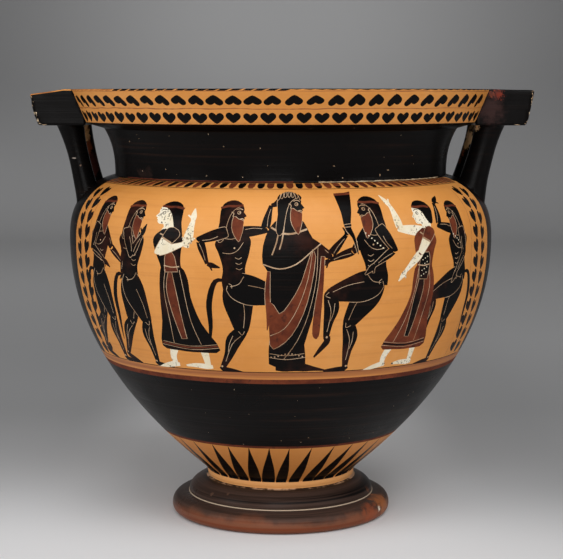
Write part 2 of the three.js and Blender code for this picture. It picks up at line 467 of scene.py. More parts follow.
def head(brush, neck, nod, kind=GLOSS, hair=LONG_HAIR, bearded=True, band=RED):
    """A plain profile head on its neck, turned by the nod."""
    c, s = math.cos(math.radians(nod)), math.sin(math.radians(nod))

    def on(points):
        return [(neck[0] + HEAD * (x * c + y * s), neck[1] + HEAD * (-x * s + y * c)) for x, y in points]

    brush.area(kind, smooth_loop(on(FACE), 2))
    brush.parts(GLOSS, [smooth_loop(on(hair), 2)], kind == GLOSS)
    if bearded:
        brush.parts(RED, [smooth_loop(on(BEARD), 2)])
        brush.scratch(on([(0.3, 0.33), (0.4, 0.36), (0.47, 0.3)]), 0.004)
    if band is not None:
        brush.scratch(on([(0.38, 0.9), (0.1, 0.86), (-0.2, 0.86), (-0.48, 0.78)]), 0.013, band)
    ink = INCISED if kind == GLOSS else GLOSS
    brush.dot(ink, on([(0.25, 0.6)])[0], 0.0105)
    brush.dot(kind, on([(0.25, 0.6)])[0], 0.007)
    brush.dot(ink, on([(0.27, 0.6)])[0], 0.0032)
    brush.scratch(on([(0.14, 0.72), (0.27, 0.76), (0.38, 0.71)]), 0.004, ink)
    brush.scratch(on([(-0.04, 0.62), (0.05, 0.56), (0.02, 0.44)]), 0.004, ink)


def trunk(brush, hip, shoulder, kind=GLOSS, widths=(0.14, 0.138, 0.122, 0.17, 0.196, 0.13, 0.05)):
    """The body from below the hip to above the shoulder, by its widths."""
    levels = (-0.06, 0.1, 0.32, 0.62, 0.82, 0.97, 1.06)
    bends = (0.0, -0.004, 0.0, 0.006, 0.004, 0.0, 0.0)
    spine = [(*between(hip, shoulder, t, -b), w) for t, b, w in zip(levels, bends, widths)]
    brush.area(kind, thick_line(spine))


def bare_marks(brush, hip, shoulder):
    """Collar, chest, ribs and hip of an unclothed trunk."""
    collar = ((0.9, -0.05), (0.87, 0.0), (0.92, 0.05))
    chest = ((0.62, -0.055), (0.6, -0.01), (0.66, 0.03), (0.8, 0.062))
    ribs = [((0.52 - k * 0.1, 0.012), (0.49 - k * 0.1, 0.03), (0.52 - k * 0.1, 0.046)) for k in range(3)]
    hips = [((0.16, 0.05), (0.02, 0.018), (-0.02, -0.03)), ((0.04, -0.035), (0.0, -0.02), (-0.05, -0.022))]

    def scratch_all(*lines):
        """Lines in pairs of (share of the way from hip to shoulder, distance in front of it)."""
        for marks in lines:
            brush.scratch([between(hip, shoulder, along, -aside) for along, aside in marks])

    scratch_all(collar, chest)
    brush.dot(INCISED, between(hip, shoulder, 0.7, -0.012), 0.005)
    scratch_all(*ribs, *hips)


TAIL = ((-0.04, 0.02, 0.012), (-0.11, 0.02, 0.026), (-0.15, -0.1, 0.034), (-0.15, -0.24, 0.024),
        (-0.17, -0.38, 0.005))


def dancer(brush, lean, nod, near_arm, far_arm, near_leg, far_leg, tail, beads):
    """An unclothed dancer: every limb by the directions of its parts."""
    lowest = min(swing(swing((0, 0), THIGH, thigh), SHIN, shin)[1] for thigh, shin, _ in (near_leg, far_leg))
    hip = (0.0, -lowest + 0.03)
    shoulder = swing(hip, -0.3, -lean)
    neck = swing(shoulder, -0.028, -lean)
    arm(brush, swing(shoulder, 0.03, 90), *far_arm, edged=False)
    leg(brush, swing(hip, 0.012, 90), *far_leg, edged=False)
    if tail:
        brush.area(GLOSS, thick_line([(hip[0] + u, hip[1] + v, w) for u, v, w in TAIL]))
    trunk(brush, hip, shoulder)
    leg(brush, hip, *near_leg)
    brush.area(GLOSS, thick_line([(*hip, 0.09), (*between(hip, shoulder, 0.15), 0.105),
                                  (*between(hip, shoulder, 0.25), 0.08)]))
    bare_marks(brush, hip, shoulder)
    head(brush, neck, nod)
    if beads:
        for k in range(7):
            brush.dot(WHITE, between(hip, shoulder, 0.62 + k * 0.05, 0.045 - k * 0.016), 0.0042)
    arm(brush, swing(shoulder, -0.035, 90), *near_arm)


def maiden(brush, lean, nod, near_arm, far_arm, dress, red_fold, sweep, step):
    """A dancer in a long dress, with white skin: sweep is how far the hem trails."""
    hip, shoulder = (0.0, 0.53), (0.3 * math.sin(math.radians(lean)), 0.825)
    neck = swing(shoulder, -0.028, -lean)
    arm(brush, swing(shoulder, 0.03, 90), *far_arm, kind=WHITE, edged=False)
    hem = 0.125
    for foot_u, turn in ((sweep + step, 68), (sweep - 0.085, 84)):
        ankle = (foot_u, 0.036)
        toe = swing(ankle, FOOT, turn)
        shin = [(foot_u - 0.012 + 0.2 * (sweep - foot_u), 0.16, 0.05), (foot_u, 0.085, 0.036),
                (*ankle, 0.028)]
        foot = [(foot_u - 0.022, 0.026, 0.02), (foot_u + 0.01, 0.026, 0.032),
                (*between(ankle, toe, 0.55), 0.026), (*toe, 0.01)]
        brush.parts(WHITE, [thick_line(shin), thick_line(foot)], False)
    trunk(brush, hip, shoulder, dress, (0.13, 0.128, 0.11, 0.142, 0.164, 0.12, 0.06))
    skirt = [(-0.048, 0.62), (-0.082, 0.545), (-0.09, 0.44), (sweep * 0.5 - 0.112, 0.29),
             (sweep - 0.166, hem + 0.006), (sweep - 0.06, hem - 0.014), (sweep + 0.05, hem - 0.01),
             (sweep + 0.14, hem + 0.012), (sweep * 0.5 + 0.098, 0.29), (0.076, 0.44), (0.07, 0.545),
             (0.05, 0.62)]
    brush.area(dress, smooth_loop(skirt, 3))
    stripe_kind = RED if dress == GLOSS else GLOSS
    fold = [(0.01, 0.6, 0.012), (0.012, 0.5, 0.044), (sweep * 0.3 + 0.01, 0.39, 0.046),
            (sweep * 0.8, 0.19, 0.026)]
    brush.parts(stripe_kind, [thick_line(fold, 3)])
    bodice = (((0.2, 0.07), (0.34, 0.06), (0.5, 0.05), (0.6, 0.02)) if red_fold
              else ((0.02, 0.06), (0.22, 0.072), (0.42, 0.07), (0.56, 0.05)))
    spine = [(*between(hip, shoulder, t), w) for t, w in bodice]
    brush.parts(RED if red_fold else GLOSS, [thick_line(spine, 3)])
    if not red_fold:
        for k in range(12):
            brush.dot(WHITE, between(hip, shoulder, 0.08 + 0.036 * k, 0.016 * (k % 3 - 1)), 0.0036)
    for u in (-0.04, 0.036):
        brush.scratch([(u, 0.6), (u * 1.4, 0.48), (sweep * 0.5 + u * 1.5, 0.3), (sweep + u * 1.9, 0.16)])
    brush.scratch([(-0.04, 0.622), (0.0, 0.616), (0.042, 0.624)], 0.007)
    for line, width, kind in (
            (((-0.156, 0.04), (-0.02, 0.022), (0.13, 0.042)), SCRATCH_WIDTH, INCISED),
            (((-0.158, 0.03), (-0.02, 0.012), (0.133, 0.032)), 0.009, stripe_kind),
            (((-0.16, 0.019), (-0.02, 0.001), (0.136, 0.022)), SCRATCH_WIDTH, INCISED)):
        brush.scratch([(sweep + u, hem + v) for u, v in line], width, kind)
    brush.scratch([between(hip, shoulder, *at) for at in ((0.97, -0.045), (0.9, 0.0), (0.97, 0.045))], 0.008)
    head(brush, neck, nod, WHITE, LONG_HAIR if red_fold else SHORT_HAIR, False)
    near_shoulder, down = swing(shoulder, -0.03, 90), near_arm[0]
    arm(brush, near_shoulder, *near_arm, kind=WHITE)
    sleeve = [(*swing(near_shoulder, far, down), width)
              for far, width in ((-0.022, 0.03), (0, 0.074), (0.052, 0.066), (0.064, 0.056))]
    brush.parts(dress, [thick_line(sleeve, 3)])
    cuff = swing(near_shoulder, 0.06, down)
    brush.scratch([swing(cuff, 0.028, down + 90), swing(cuff, 0.028, down - 90)], 0.008)


def robed(brush, nod, cup_arm):
    """The tall figure in the middle, wrapped in a mantle with red folds and holding up a horn."""
    for foot_u in (-0.045, 0.055):
        brush.area(GLOSS, thick_line([(foot_u - 0.03, 0.028, 0.03), (foot_u + 0.02, 0.03, 0.046),
                                      (foot_u + 0.08, 0.022, 0.026), (foot_u + 0.14, 0.012, 0.01)]))
    tip = arm(brush, (0.085, 0.72), *cup_arm, edged=False)
    robe = [(-0.05, 0.848), (-0.11, 0.8), (-0.148, 0.7), (-0.15, 0.6), (-0.12, 0.555), (-0.118, 0.4),
            (-0.108, 0.22), (-0.112, 0.05), (-0.02, 0.038), (0.088, 0.05), (0.08, 0.16), (0.13, 0.33),
            (0.16, 0.52), (0.185, 0.64), (0.178, 0.7), (0.12, 0.74), (0.088, 0.8), (0.05, 0.848)]
    brush.area(GLOSS, smooth_loop(robe, 2))
    broad_fold = [(-0.112, 0.4), (-0.108, 0.16), (-0.06, 0.15), (0.01, 0.215), (0.07, 0.33),
                  (0.11, 0.47), (0.135, 0.64), (0.11, 0.655), (0.06, 0.5), (-0.005, 0.385),
                  (-0.06, 0.33)]
    back_fold = [(-0.118, 0.56, 0.016), (-0.124, 0.44, 0.026), (-0.118, 0.32, 0.022),
                 (-0.124, 0.24, 0.004)]
    front_fold = [(0.176, 0.64, 0.018), (0.168, 0.5, 0.026), (0.15, 0.34, 0.04),
                  (0.142, 0.22, 0.04), (0.146, 0.19, 0.006)]
    brush.parts(RED, [smooth_loop(broad_fold, 2), thick_line(back_fold)])
    brush.parts(RED, [thick_line(front_fold)])
    for width, line in (
            (0.0062, ((-0.148, 0.6), (-0.06, 0.575), (0.03, 0.6), (0.11, 0.665), (0.17, 0.715))),
            (SCRATCH_WIDTH, ((0.12, 0.68), (0.095, 0.52), (0.04, 0.36), (-0.03, 0.25), (-0.108, 0.21))),
            (SCRATCH_WIDTH, ((0.148, 0.69), (0.14, 0.52), (0.1, 0.33), (0.04, 0.18), (-0.03, 0.08))),
            (SCRATCH_WIDTH, ((-0.11, 0.11), (-0.02, 0.098), (0.082, 0.11))),
            (SCRATCH_WIDTH, ((-0.11, 0.088), (-0.02, 0.076), (0.084, 0.088))),
            (0.01, ((-0.104, 0.8), (-0.05, 0.77), (0.01, 0.765), (0.09, 0.79))),
            (0.007, ((-0.06, 0.8), (-0.075, 0.72), (-0.1, 0.65))),
            (0.007, ((-0.035, 0.8), (-0.045, 0.73), (-0.06, 0.68)))):
        brush.scratch(line, width)
    for k in range(11):
        brush.dot(INCISED, (-0.1 + 0.019 * k, 0.099 - 0.01 * math.cos(k * 0.6)), 0.0042)
    head(brush, (0.0, 0.842), nod, band=None)
    for k in range(7):
        centre = (-0.06 + 0.02 * k, 0.842 + HEAD * (0.86 + 0.12 * math.sin(k * 0.52)))
        brush.parts(GLOSS, [thick_line([(centre[0] - 0.004, centre[1] - 0.012, 0.004), (*centre, 0.012),
                                        (centre[0] + 0.01 - 0.004 * k, centre[1] + 0.02, 0.003)], 2)])
    cup = swing(tip, -0.03, cup_arm[2])
    horn = ((0.06, -0.15, 0.005), (0.034, -0.06, 0.018), (0, 0, 0.036), (-0.008, 0.09, 0.062),
            (-0.026, 0.19, 0.094))
    fingers = ((-0.02, 0.006, 0.012), (0.02, 0.01, 0.014))
    brush.parts(GLOSS, [thick_line([(cup[0] + u, cup[1] + v, w) for u, v, w in horn])])
    brush.scratch([(cup[0] - 0.072, cup[1] + 0.182), (cup[0] + 0.02, cup[1] + 0.188)], 0.014, RED)
    brush.parts(GLOSS, [thick_line([(cup[0] + u, cup[1] + v, w) for u, v, w in fingers])])


# (degrees round, height, facing, lean, nod, near arm, far arm, near leg, far leg, tail, beads)
FRONT_DANCERS = [
    (-54.0, 162, 1, 5, 2, (-22, 62, 55), (34, 48, 60), (15, -6, 74), (-12, -30, 62), True, False),
    (-41.0, 160, 1, 3, 2, (14, 146, 158), (-34, -12, 10), (18, -4, 76), (-12, -32, 60), True, False),
    (-11.0, 166, 1, -4, 0, (-72, 18, 74), (96, 172, 104), (74, -14, 44), (2, -30, 74), True, False),
    (24.0, 169, -1, 2, 2, (-34, 56, 46), (36, 70, 58), (76, -2, 24), (28, -6, 80), False, True),
    (52.5, 157, -1, 4, 4, (-12, 34, 28), (104, 192, 236), (70, -4, 56), (14, 4, 76), True, True)]
BACK_DANCERS = [
    (-56, 156, 1, 4, 2, (30, 120, 130), (-30, -10, 0), (66, -6, 50), (6, -10, 78), False, False),
    (28, 160, -1, 3, 2, (-50, 30, 60), (80, 160, 150), (16, -6, 76), (-14, -34, 60), True, False),
    (57, 156, -1, 2, 2, (20, 140, 150), (-30, 0, 10), (70, -8, 40), (10, -4, 78), False, False)]

for degrees, height, faces, *pose in FRONT_DANCERS:
    dancer(Brush(FRONT, degrees, height, faces, 1.06), *pose)
maiden(Brush(FRONT, -27.6, 160, -1, 1.28), 4, 2, (34, -112, -122), (-62, -172, -184), GLOSS, True,
       -0.03, 0.09)
maiden(Brush(FRONT, 38.2, 159, -1, 1.12), -4, 4, (30, 44, 36), (98, 172, 158), RED, False, 0.06, 0.1)
robed(Brush(FRONT, 2.4, 173, 1), 0, (60, 140, 168))

for degrees, height, faces, *pose in BACK_DANCERS:
    dancer(Brush(BACK, degrees, height, faces, 1.06), *pose)
maiden(Brush(BACK, -28, 158, 1, 1.15), 2, 2, (34, 60, 60), (70, 165, 160), GLOSS, True, -0.03, 0.09)
robed(Brush(BACK, 1, 171, -1), 0, (56, 140, 168))

# The rim: a band of clay on front and back with two rows of ivy leaves on a brown stem line, and
# short slanted strokes along its upper edge. It is black where the handle plates join it.
RIM_HALF_ANGLE = math.radians(73.5)
STROKE_PITCH = math.radians(2.9)
RIM_STEM, STROKE_FOOT, STROKE_TOP = along_at(431.4), along_at(447.3), WALL_LENGTH - 2.8
PALE_STROKES_UP_TO = -0.85
# (height, width and height of a leaf, turn, first angle and steps to the left and right in degrees)
RIM_LEAVES = ((439.3, 16.5, 9.9, math.pi, -2.0, 4.85, 5.3), (422.6, 14.1, 11.0, 0.0, 1.4, 4.5, 4.6))


def rim_leaf(middle, degrees, height, width, tall, turn):
    """One leaf of the rim; those of the upper row slant down towards the middle of the picture."""
    angle = math.radians(degrees)
    slant = 0.06 + (0.45 if angle < 0 else 0.3) * angle if turn else 0.05 * angle
    tall *= 1.18 if turn and angle > 0.2 else 1.0
    c, s = math.cos(turn + hand.uniform(-0.12, 0.12)), math.sin(turn + 0.14 * angle * (turn == 0))
    centre, shrink = round_x(middle + angle), BELLY_RADIUS / radius_at(along_at(height))
    width, tall = width * hand.uniform(0.93, 1.06), tall * hand.uniform(0.93, 1.06)
    level = along_at(height) + hand.uniform(-0.4, 0.4)
    paint(GLOSS, [(centre + (x * width * c - y * tall * s) * shrink,
                   level + y * tall * c + (s + slant) * x * width * c) for x, y in LEAF])


def rim_band(middle):
    """The clay of the rim on one side of the vessel, with its leaves, stem line and strokes."""
    left, right = (round_x(middle + side * RIM_HALF_ANGLE) for side in (-1, 1))
    paint_box(CLAY, left, right, along_at(RIM_FOOT), WALL_LENGTH - 0.5)
    for height, width, tall, turn, first, left_step, right_step in RIM_LEAVES:
        for k in range(-20, 20):
            degrees = first + k * (left_step if k < 0 else right_step)
            if abs(degrees) < math.degrees(RIM_HALF_ANGLE) - 1.5:
                rim_leaf(middle, degrees, height, width, tall, turn)
    stem = [(round_x(middle + RIM_HALF_ANGLE * k / 24), RIM_STEM + hand.uniform(-0.5, 0.5))
            for k in range(-24, 25)]
    hand_line(BROWN, smooth_line(stem, 3), 0.5, 1.3)
    high = STROKE_TOP
    angle = middle - RIM_HALF_ANGLE
    while angle < middle + RIM_HALF_ANGLE - STROKE_PITCH:
        x, step = round_x(angle), round_x(STROKE_PITCH)
        heavy = 1.0 if angle < middle else 0.55
        low = high - (high - STROKE_FOOT) * heavy * hand.uniform(0.8, 1.0)
        paint(BROWN if angle < middle + PALE_STROKES_UP_TO else GLOSS,
              [(x - step * 0.25, low + 0.5), (x + step * 0.35, low), (x + step, high - 0.6),
               (x + step * 1.1, high + 0.4), (x + step * 0.35, high + 0.4)])
        angle += STROKE_PITCH * hand.uniform(0.92, 1.1)
    edge = [(left + 6 + (right - left - 12) * k / 60, high + hand.uniform(-0.3, 0.2)) for k in range(61)]
    hand_line(GLOSS, edge, 0.4, 1.2)
    hand_line(BROWN, [(x, s - 2.6) for x, s in edge], 0.4, 1.3)


for side_middle in (FRONT, BACK):
    rim_band(side_middle)

# Wear: small flecks where the slip has come away. Each is (degrees round, height, width, height of
# the fleck); the first ones have their places, the others are scattered over neck and black band.
FLECKS = [(-57, 398, 2.0, 1.6), (8.5, 412.5, 1.2, 1.6), (20.8, 413, 1.0, 2.2), (11.8, 367, 1.4, 1.2),
          (20, 365, 1.3, 1.3), (33.6, 367, 1.2, 3.6), (17, 376.6, 3.2, 0.5), (36.8, 371.5, 3.4, 0.8),
          (-40, 372, 1.6, 0.9), (-12, 366, 1.2, 0.9)]
for count, *spans in ((26, (0, 360), (363, 408), (0.5, 1.2), (0.5, 1.4)),
                      (34, (0, 360), (98, 166), (0.6, 1.5), (0.5, 1.3))):
    FLECKS += [tuple(hand.uniform(*span) for span in spans) for _ in range(count)]
BEFORE_SEAM = 2 * math.pi - SEAM
for degrees, height, width, tall in FLECKS:
    x = round_x((math.radians(degrees) + BEFORE_SEAM) % (2 * math.pi) - BEFORE_SEAM)
    s = along_at(height)
    if SHEET_LEFT + 5 < x < SHEET_RIGHT - 5:
        paint(CREAM, [(x + math.cos(k) * width / 2 * hand.uniform(0.6, 1.1),
                       s + math.sin(k) * tall / 2 * hand.uniform(0.6, 1.1)) for k in range(6)])

# What the surface is made of. Black slip fired to a soft gloss, thin and brown in streaks, red where
# the kiln's air reached it; orange clay with the lines of the wheel; matt red, flaking white, and
# scratched lines in the colour of the clay. Each is built from a few shared masks.


def add(tree, kind, values=None, **settings):
    """A node with its sockets set or linked, by name or by number."""
    made = tree.nodes.new("ShaderNode" + kind)
    for name, value in settings.items():
        setattr(made, name, value)
    for name, value in (values or {}).items():
        if isinstance(value, bpy.types.NodeSocket):
            tree.links.new(value, made.inputs[name])
        else:
            made.inputs[name].default_value = value
    return made


def ramp(tree, value, low, high):
    """Nought below low, one above high."""
    return add(tree, "MapRange", {"Value": value, "From Min": low, "From Max": high},
               interpolation_type="SMOOTHSTEP").outputs["Result"]


def sums(tree, operation, a, b=0.0):
    """A sum with one or two numbers."""
    return add(tree, "Math", {0: a, 1: b}, operation=operation).outputs[0]


def vectors(tree, operation, a, b=(0, 0, 0), result="Vector"):
    """A sum with one or two places."""
    return add(tree, "VectorMath", {0: a, 1: b}, operation=operation).outputs[result]


def mixed(tree, share, a, b):
    """One colour laid over another by a mask."""
    a, b = (c if isinstance(c, bpy.types.NodeSocket) else (*c, 1) for c in (a, b))
    return add(tree, "Mix", {"Factor": share, 6: a, 7: b}, data_type="RGBA").outputs[2]


def mask_group(name, inputs, build):
    """A shared mask as a node group with number inputs and one output."""
    tree = bpy.data.node_groups.new(name, "ShaderNodeTree")
    for label, value in inputs.items():
        socket = tree.interface.new_socket(label, in_out="INPUT", socket_type="NodeSocketFloat")
        socket.default_value = value
    tree.interface.new_socket("Mask", in_out="OUTPUT", socket_type="NodeSocketFloat")
    given = tree.nodes.new("NodeGroupInput")
    place = tree.nodes.new("ShaderNodeTexCoord").outputs["Object"]
    result = tree.nodes.new("NodeGroupOutput")
    tree.links.new(build(tree, place, given.outputs), result.inputs["Mask"])
    return tree


def wheel_lines(tree, place, given):
    """Fine level streaks, as the wheel and the brush leave them."""
    squeezed = vectors(tree, "MULTIPLY", place, (2.5, 2.5, 230.0))
    lines = add(tree, "TexNoise", {"Vector": squeezed, "Scale": 1.0, "Detail": 5.0, "Roughness": 0.65})
    return ramp(tree, lines.outputs["Fac"], given["Low"], given["High"])


def blotches(tree, place, given):
    """Clouded areas with ragged edges."""
    cloud = add(tree, "TexNoise", {"Vector": place, "Scale": given["Scale"], "Detail": 7.0,
                                   "Roughness": 0.62})
    return ramp(tree, cloud.outputs["Fac"], given["Low"], given["High"])


def specks(tree, place, given):
    """Scattered small dots, in a share of the cells of a honeycomb."""
    cells = add(tree, "TexVoronoi", {"Vector": place, "Scale": given["Scale"], "Randomness": 1.0})
    cloud = add(tree, "TexNoise", {"Vector": place, "Scale": 900.0, "Detail": 2.0})
    chosen = add(tree, "SeparateColor", {"Color": cells.outputs["Color"]}).outputs[0]
    size = sums(tree, "MULTIPLY", chosen, given["Size"])
    ragged = sums(tree, "ADD", cells.outputs["Distance"], sums(tree, "MULTIPLY", cloud.outputs["Fac"], 0.25))
    dots = ramp(tree, sums(tree, "SUBTRACT", size, ragged), 0.0, 0.06)
    return sums(tree, "MULTIPLY", dots, sums(tree, "LESS_THAN", chosen, given["Share"]))


GROUPS = {
    "lines": mask_group("wheel lines", {"Low": 0.45, "High": 0.7}, wheel_lines),
    "blotches": mask_group("blotches", {"Scale": 9.0, "Low": 0.45, "High": 0.65}, blotches),
    "specks": mask_group("specks", {"Scale": 220.0, "Size": 3.0, "Share": 0.2}, specks),
}


class Surface:
    """A material in the making: its nodes, the place on the object, and the colour so far."""

    def __init__(self, name, colour, roughness, specular):
        self.material = bpy.data.materials.new(name)
        self.material.use_nodes = True
        self.tree = self.material.node_tree
        self.shader = self.tree.nodes["Principled BSDF"]
        self.shader.inputs["Roughness"].default_value = roughness
        self.shader.inputs["Specular IOR Level"].default_value = specular
        self.place = self.tree.nodes.new("ShaderNodeTexCoord").outputs["Object"]
        self.colour = colour

    def axis(self, name):
        """The place on the object along one axis."""
        return add(self.tree, "SeparateXYZ", {"Vector": self.place}).outputs[name]

    def shared(self, name, **values):
        """One of the shared masks with its own values."""
        made = self.tree.nodes.new("ShaderNodeGroup")
        made.node_tree = GROUPS[name]
        for label, value in values.items():
            made.inputs[label].default_value = value
        return made.outputs["Mask"]

    def lines(self, low, high):
        """The lines of the wheel as a mask."""
        return self.shared("lines", Low=low, High=high)

    def clouds(self, scale, low, high):
        """Clouded areas as a mask; a higher scale makes them smaller."""
        return self.shared("blotches", Scale=scale, Low=low, High=high)

    def specks(self, scale, size, share):
        """Scattered dots as a mask."""
        return self.shared("specks", Scale=scale, Size=size, Share=share)

    def ramp(self, value, low, high):
        return ramp(self.tree, value, low, high)

    def sums(self, operation, a, b=0.0):
        return sums(self.tree, operation, a, b)

    def times(self, a, b):
        return sums(self.tree, "MULTIPLY", a, b)

    def spot(self, clouds, centre, radius, ragged, flat):
        """A patch with a ragged edge round a point, squashed in height where flat is over 1."""
        away = vectors(self.tree, "SUBTRACT", self.place, centre)
        off = vectors(self.tree, "LENGTH", vectors(self.tree, "MULTIPLY", away, (1, 1, flat)), result="Value")
        uneven = self.sums("ADD", off, self.times(clouds, ragged * radius))
        return self.ramp(uneven, radius, radius * (0.6 if radius <= CRISP_PATCH else 0.15))

    def lay(self, share, tint, strength=1.0):
        """Lays a tint over the colour so far, where the mask has it."""
        share = share if strength == 1.0 else self.times(share, strength)
        self.colour = mixed(self.tree, share, self.colour, tint)

    def raise_lines(self, distance):
        """Lets the lines of the wheel be felt."""
        bump = add(self.tree, "Bump", {"Height": self.lines(0.3, 0.75), "Distance": distance})
        self.tree.links.new(bump.outputs["Normal"], self.shader.inputs["Normal"])

    def done(self):
        """Gives the colour to the material and hands it over."""
        self.tree.links.new(self.colour, self.shader.inputs["Base Color"])
        return self.material


# Patches of the black slip: (place, radius, how ragged, colour, strength, how flat)
CRISP_PATCH, FINE_PATCH = 0.01, 0.006
TAN, RUST, SOOT_RED = (0.66, 0.37, 0.16), (0.24, 0.06, 0.022), (0.06, 0.017, 0.013)
# The paler tan is worn clay's tan made brighter, as painted light against the shade under the right handle.
TAN_WITH_PAINTED_LIGHT, FOOT_BROWN = (0.86, 0.52, 0.26), (0.11, 0.06, 0.04)
PATCHES = [((0.2215, -0.058, 0.445), 0.0058, 4.0, (0.22, 0.034, 0.018), 0.8, 1.0),
           ((0.215, -0.058, 0.445), 0.004, 4.0, (0.26, 0.06, 0.028), 0.7, 1.2),
           ((0.214, -0.058, 0.43), 0.019, 2.0, (0.042, 0.02, 0.018), 0.8, 0.8),
           ((-0.204, 0.02, 0.41), 0.0085, 1.8, TAN, 1.0, 1.0),
           ((-0.2075, 0.0235, 0.4), 0.0055, 2.0, TAN, 1.0, 0.8),
           ((-0.2065, 0.024, 0.39), 0.007, 2.5, RUST, 0.8, 0.7),
           ((-0.199, 0.026, 0.37), 0.0095, 3.0, SOOT_RED, 0.9, 0.6),
           # Wear on the right columns; the first two patches are in the paler tan that holds painted light.
           ((0.2015, 0.019, 0.409), 0.011, 2.0, TAN_WITH_PAINTED_LIGHT, 1.0, 1.0),
           ((0.203, 0.025, 0.399), 0.0075, 2.4, TAN_WITH_PAINTED_LIGHT, 1.0, 0.8),
           ((0.2003, 0.0275, 0.3905), 0.0052, 2.4, TAN, 0.9, 0.7),
           ((0.1975, 0.029, 0.3815), 0.004, 2.6, RUST, 1.0, 0.6),
           ((0.195, 0.029, 0.372), 0.0036, 2.6, RUST, 0.8, 0.5),
           # Wear under the right plate's front, in the paler tan that holds painted light.
           ((0.203, -0.04, 0.4125), 0.0056, 3.0, TAN_WITH_PAINTED_LIGHT, 1.0, 1.0),
           ((0.108, -0.038, 0.016), 0.021, 2.6, (0.36, 0.12, 0.04), 0.9, 1.0),
           ((0.094, -0.068, 0.011), 0.018, 2.6, (0.28, 0.072, 0.03), 0.8, 1.0),
           ((0.104, -0.053, 0.012), 0.0026, 4.0, (0.7, 0.6, 0.48), 1.0, 1.0),
           ((-0.0717, -0.0632, 0.0301), 0.0026, 2.5, FOOT_BROWN, 0.8, 1.0),
           ((-0.0546, -0.0746, 0.033), 0.002, 2.5, FOOT_BROWN, 0.8, 1.0),
           ((-0.2132, -0.044, 0.3795), 0.0034, 2.0, (0.36, 0.3, 0.25), 0.9, 4.5),
           ((-0.2065, -0.0447, 0.372), 0.001, 3.0, (0.22, 0.13, 0.08), 0.8, 1.0),
           ((-0.135, -0.109, 0.366), 0.018, 3.0, (0.026, 0.014, 0.011), 0.7, 2.2)]
# Rubbed rings of the foot: (height, how far out at most, half its width, how rubbed, colour)
FOOT_RINGS = ((0.0217, 0.0992, 0.0005, 0.3, (0.6, 0.48, 0.36)),
              (0.0388, 0.08, 0.0007, 0.44, (0.55, 0.36, 0.22)))


def gloss_slip():
    """Black slip with its streaks, the paler foot, and patches, rings and specks of wear; the palest tan
    patches are worn clay made brighter as painted light.
    """
    slip = Surface("black slip", (0.003, 0.0024, 0.0023), 0.32, 0.07)
    height = slip.axis("Z")
    slip.lay(slip.times(slip.lines(0.5, 0.78), slip.clouds(5.0, 0.4, 0.7)), (0.036, 0.015, 0.009), 0.8)
    frieze = slip.times(slip.ramp(height, 0.176, 0.186), slip.ramp(height, 0.36, 0.35))
    slip.lay(slip.times(frieze, slip.clouds(17.0, 0.5, 0.72)), (0.048, 0.014, 0.009), 0.8)
    uneven = slip.sums("ADD", height, slip.times(slip.clouds(22.0, 0.3, 0.7), 0.008))
    streaks = mixed(slip.tree, slip.lines(0.4, 0.62), (0.21, 0.054, 0.022), (0.54, 0.15, 0.048))
    slip.lay(slip.ramp(uneven, 0.023, 0.011), streaks, 0.9)
    slip.lay(slip.times(slip.ramp(height, 0.04, 0.036), slip.lines(0.3, 0.62)), (0.092, 0.054, 0.041), 0.75)
    fine, coarse = (slip.sums("SUBTRACT", add(slip.tree, "TexNoise", {
        "Vector": slip.place, "Scale": scale, "Detail": 6.0, "Roughness": 0.7}).outputs["Fac"], 0.5)
        for scale in (600.0, 120.0))
    for centre, radius, ragged, tint, strength, flat in PATCHES:
        clouds = coarse if radius > FINE_PATCH else fine
        slip.lay(slip.spot(clouds, centre, radius, ragged, flat), tint, strength)
    out = vectors(slip.tree, "LENGTH", vectors(slip.tree, "MULTIPLY", slip.place, (1, 1, 0)), result="Value")
    for z, reach, thick, rubbed, tint in FOOT_RINGS:
        ring = slip.sums("LESS_THAN", slip.sums("ABSOLUTE", slip.sums("SUBTRACT", height, z)), thick)
        ring = slip.times(ring, slip.sums("LESS_THAN", out, reach))
        slip.lay(slip.times(ring, slip.clouds(45.0, rubbed, rubbed + 0.12)), tint)
    slip.lay(slip.specks(160.0, 4.0, 0.06), (0.34, 0.25, 0.18))
    rough = add(slip.tree, "MapRange", {"Value": slip.clouds(14.0, 0.3, 0.7), "To Min": 0.26, "To Max": 0.42})
    slip.tree.links.new(rough.outputs["Result"], slip.shader.inputs["Roughness"])
    slip.raise_lines(0.00012)
    return slip.done()


def bare_clay():
    """Orange clay, deeper towards the foot, with a painted highlight on the ridge above it."""
    clay = Surface("orange clay", (0.655, 0.256, 0.048), 0.5, 0.3)
    height = clay.axis("Z")
    clay.lay(clay.clouds(6.0, 0.35, 0.68), (0.745, 0.32, 0.078))
    clay.lay(clay.lines(0.5, 0.75), (0.47, 0.165, 0.038), 0.35)
    clay.lay(clay.clouds(60.0, 0.5, 0.75), (0.78, 0.38, 0.13), 0.2)
    clay.lay(clay.ramp(height, 0.12, 0.07), (0.44, 0.155, 0.034), 0.7)
    # Painted highlight: the ridge above the foot is made brighter.
    clay.lay(clay.ramp(height, 0.0475, 0.0455), (0.96, 0.46, 0.16), 0.6)
    clay.lay(clay.specks(150.0, 3.4, 0.045), (0.16, 0.06, 0.022))
    clay.lay(clay.specks(110.0, 3.2, 0.03), (0.85, 0.65, 0.42))
    clay.raise_lines(0.0001)
    return clay.done()


def matt_red():
    """Purple-red over the black, with the black showing through."""
    red = Surface("purple red", (0.095, 0.019, 0.008), 0.62, 0.12)
    red.lay(red.clouds(45.0, 0.35, 0.65), (0.175, 0.04, 0.015))
    red.lay(red.clouds(120.0, 0.55, 0.68), (0.03, 0.01, 0.008), 0.6)
    return red.done()


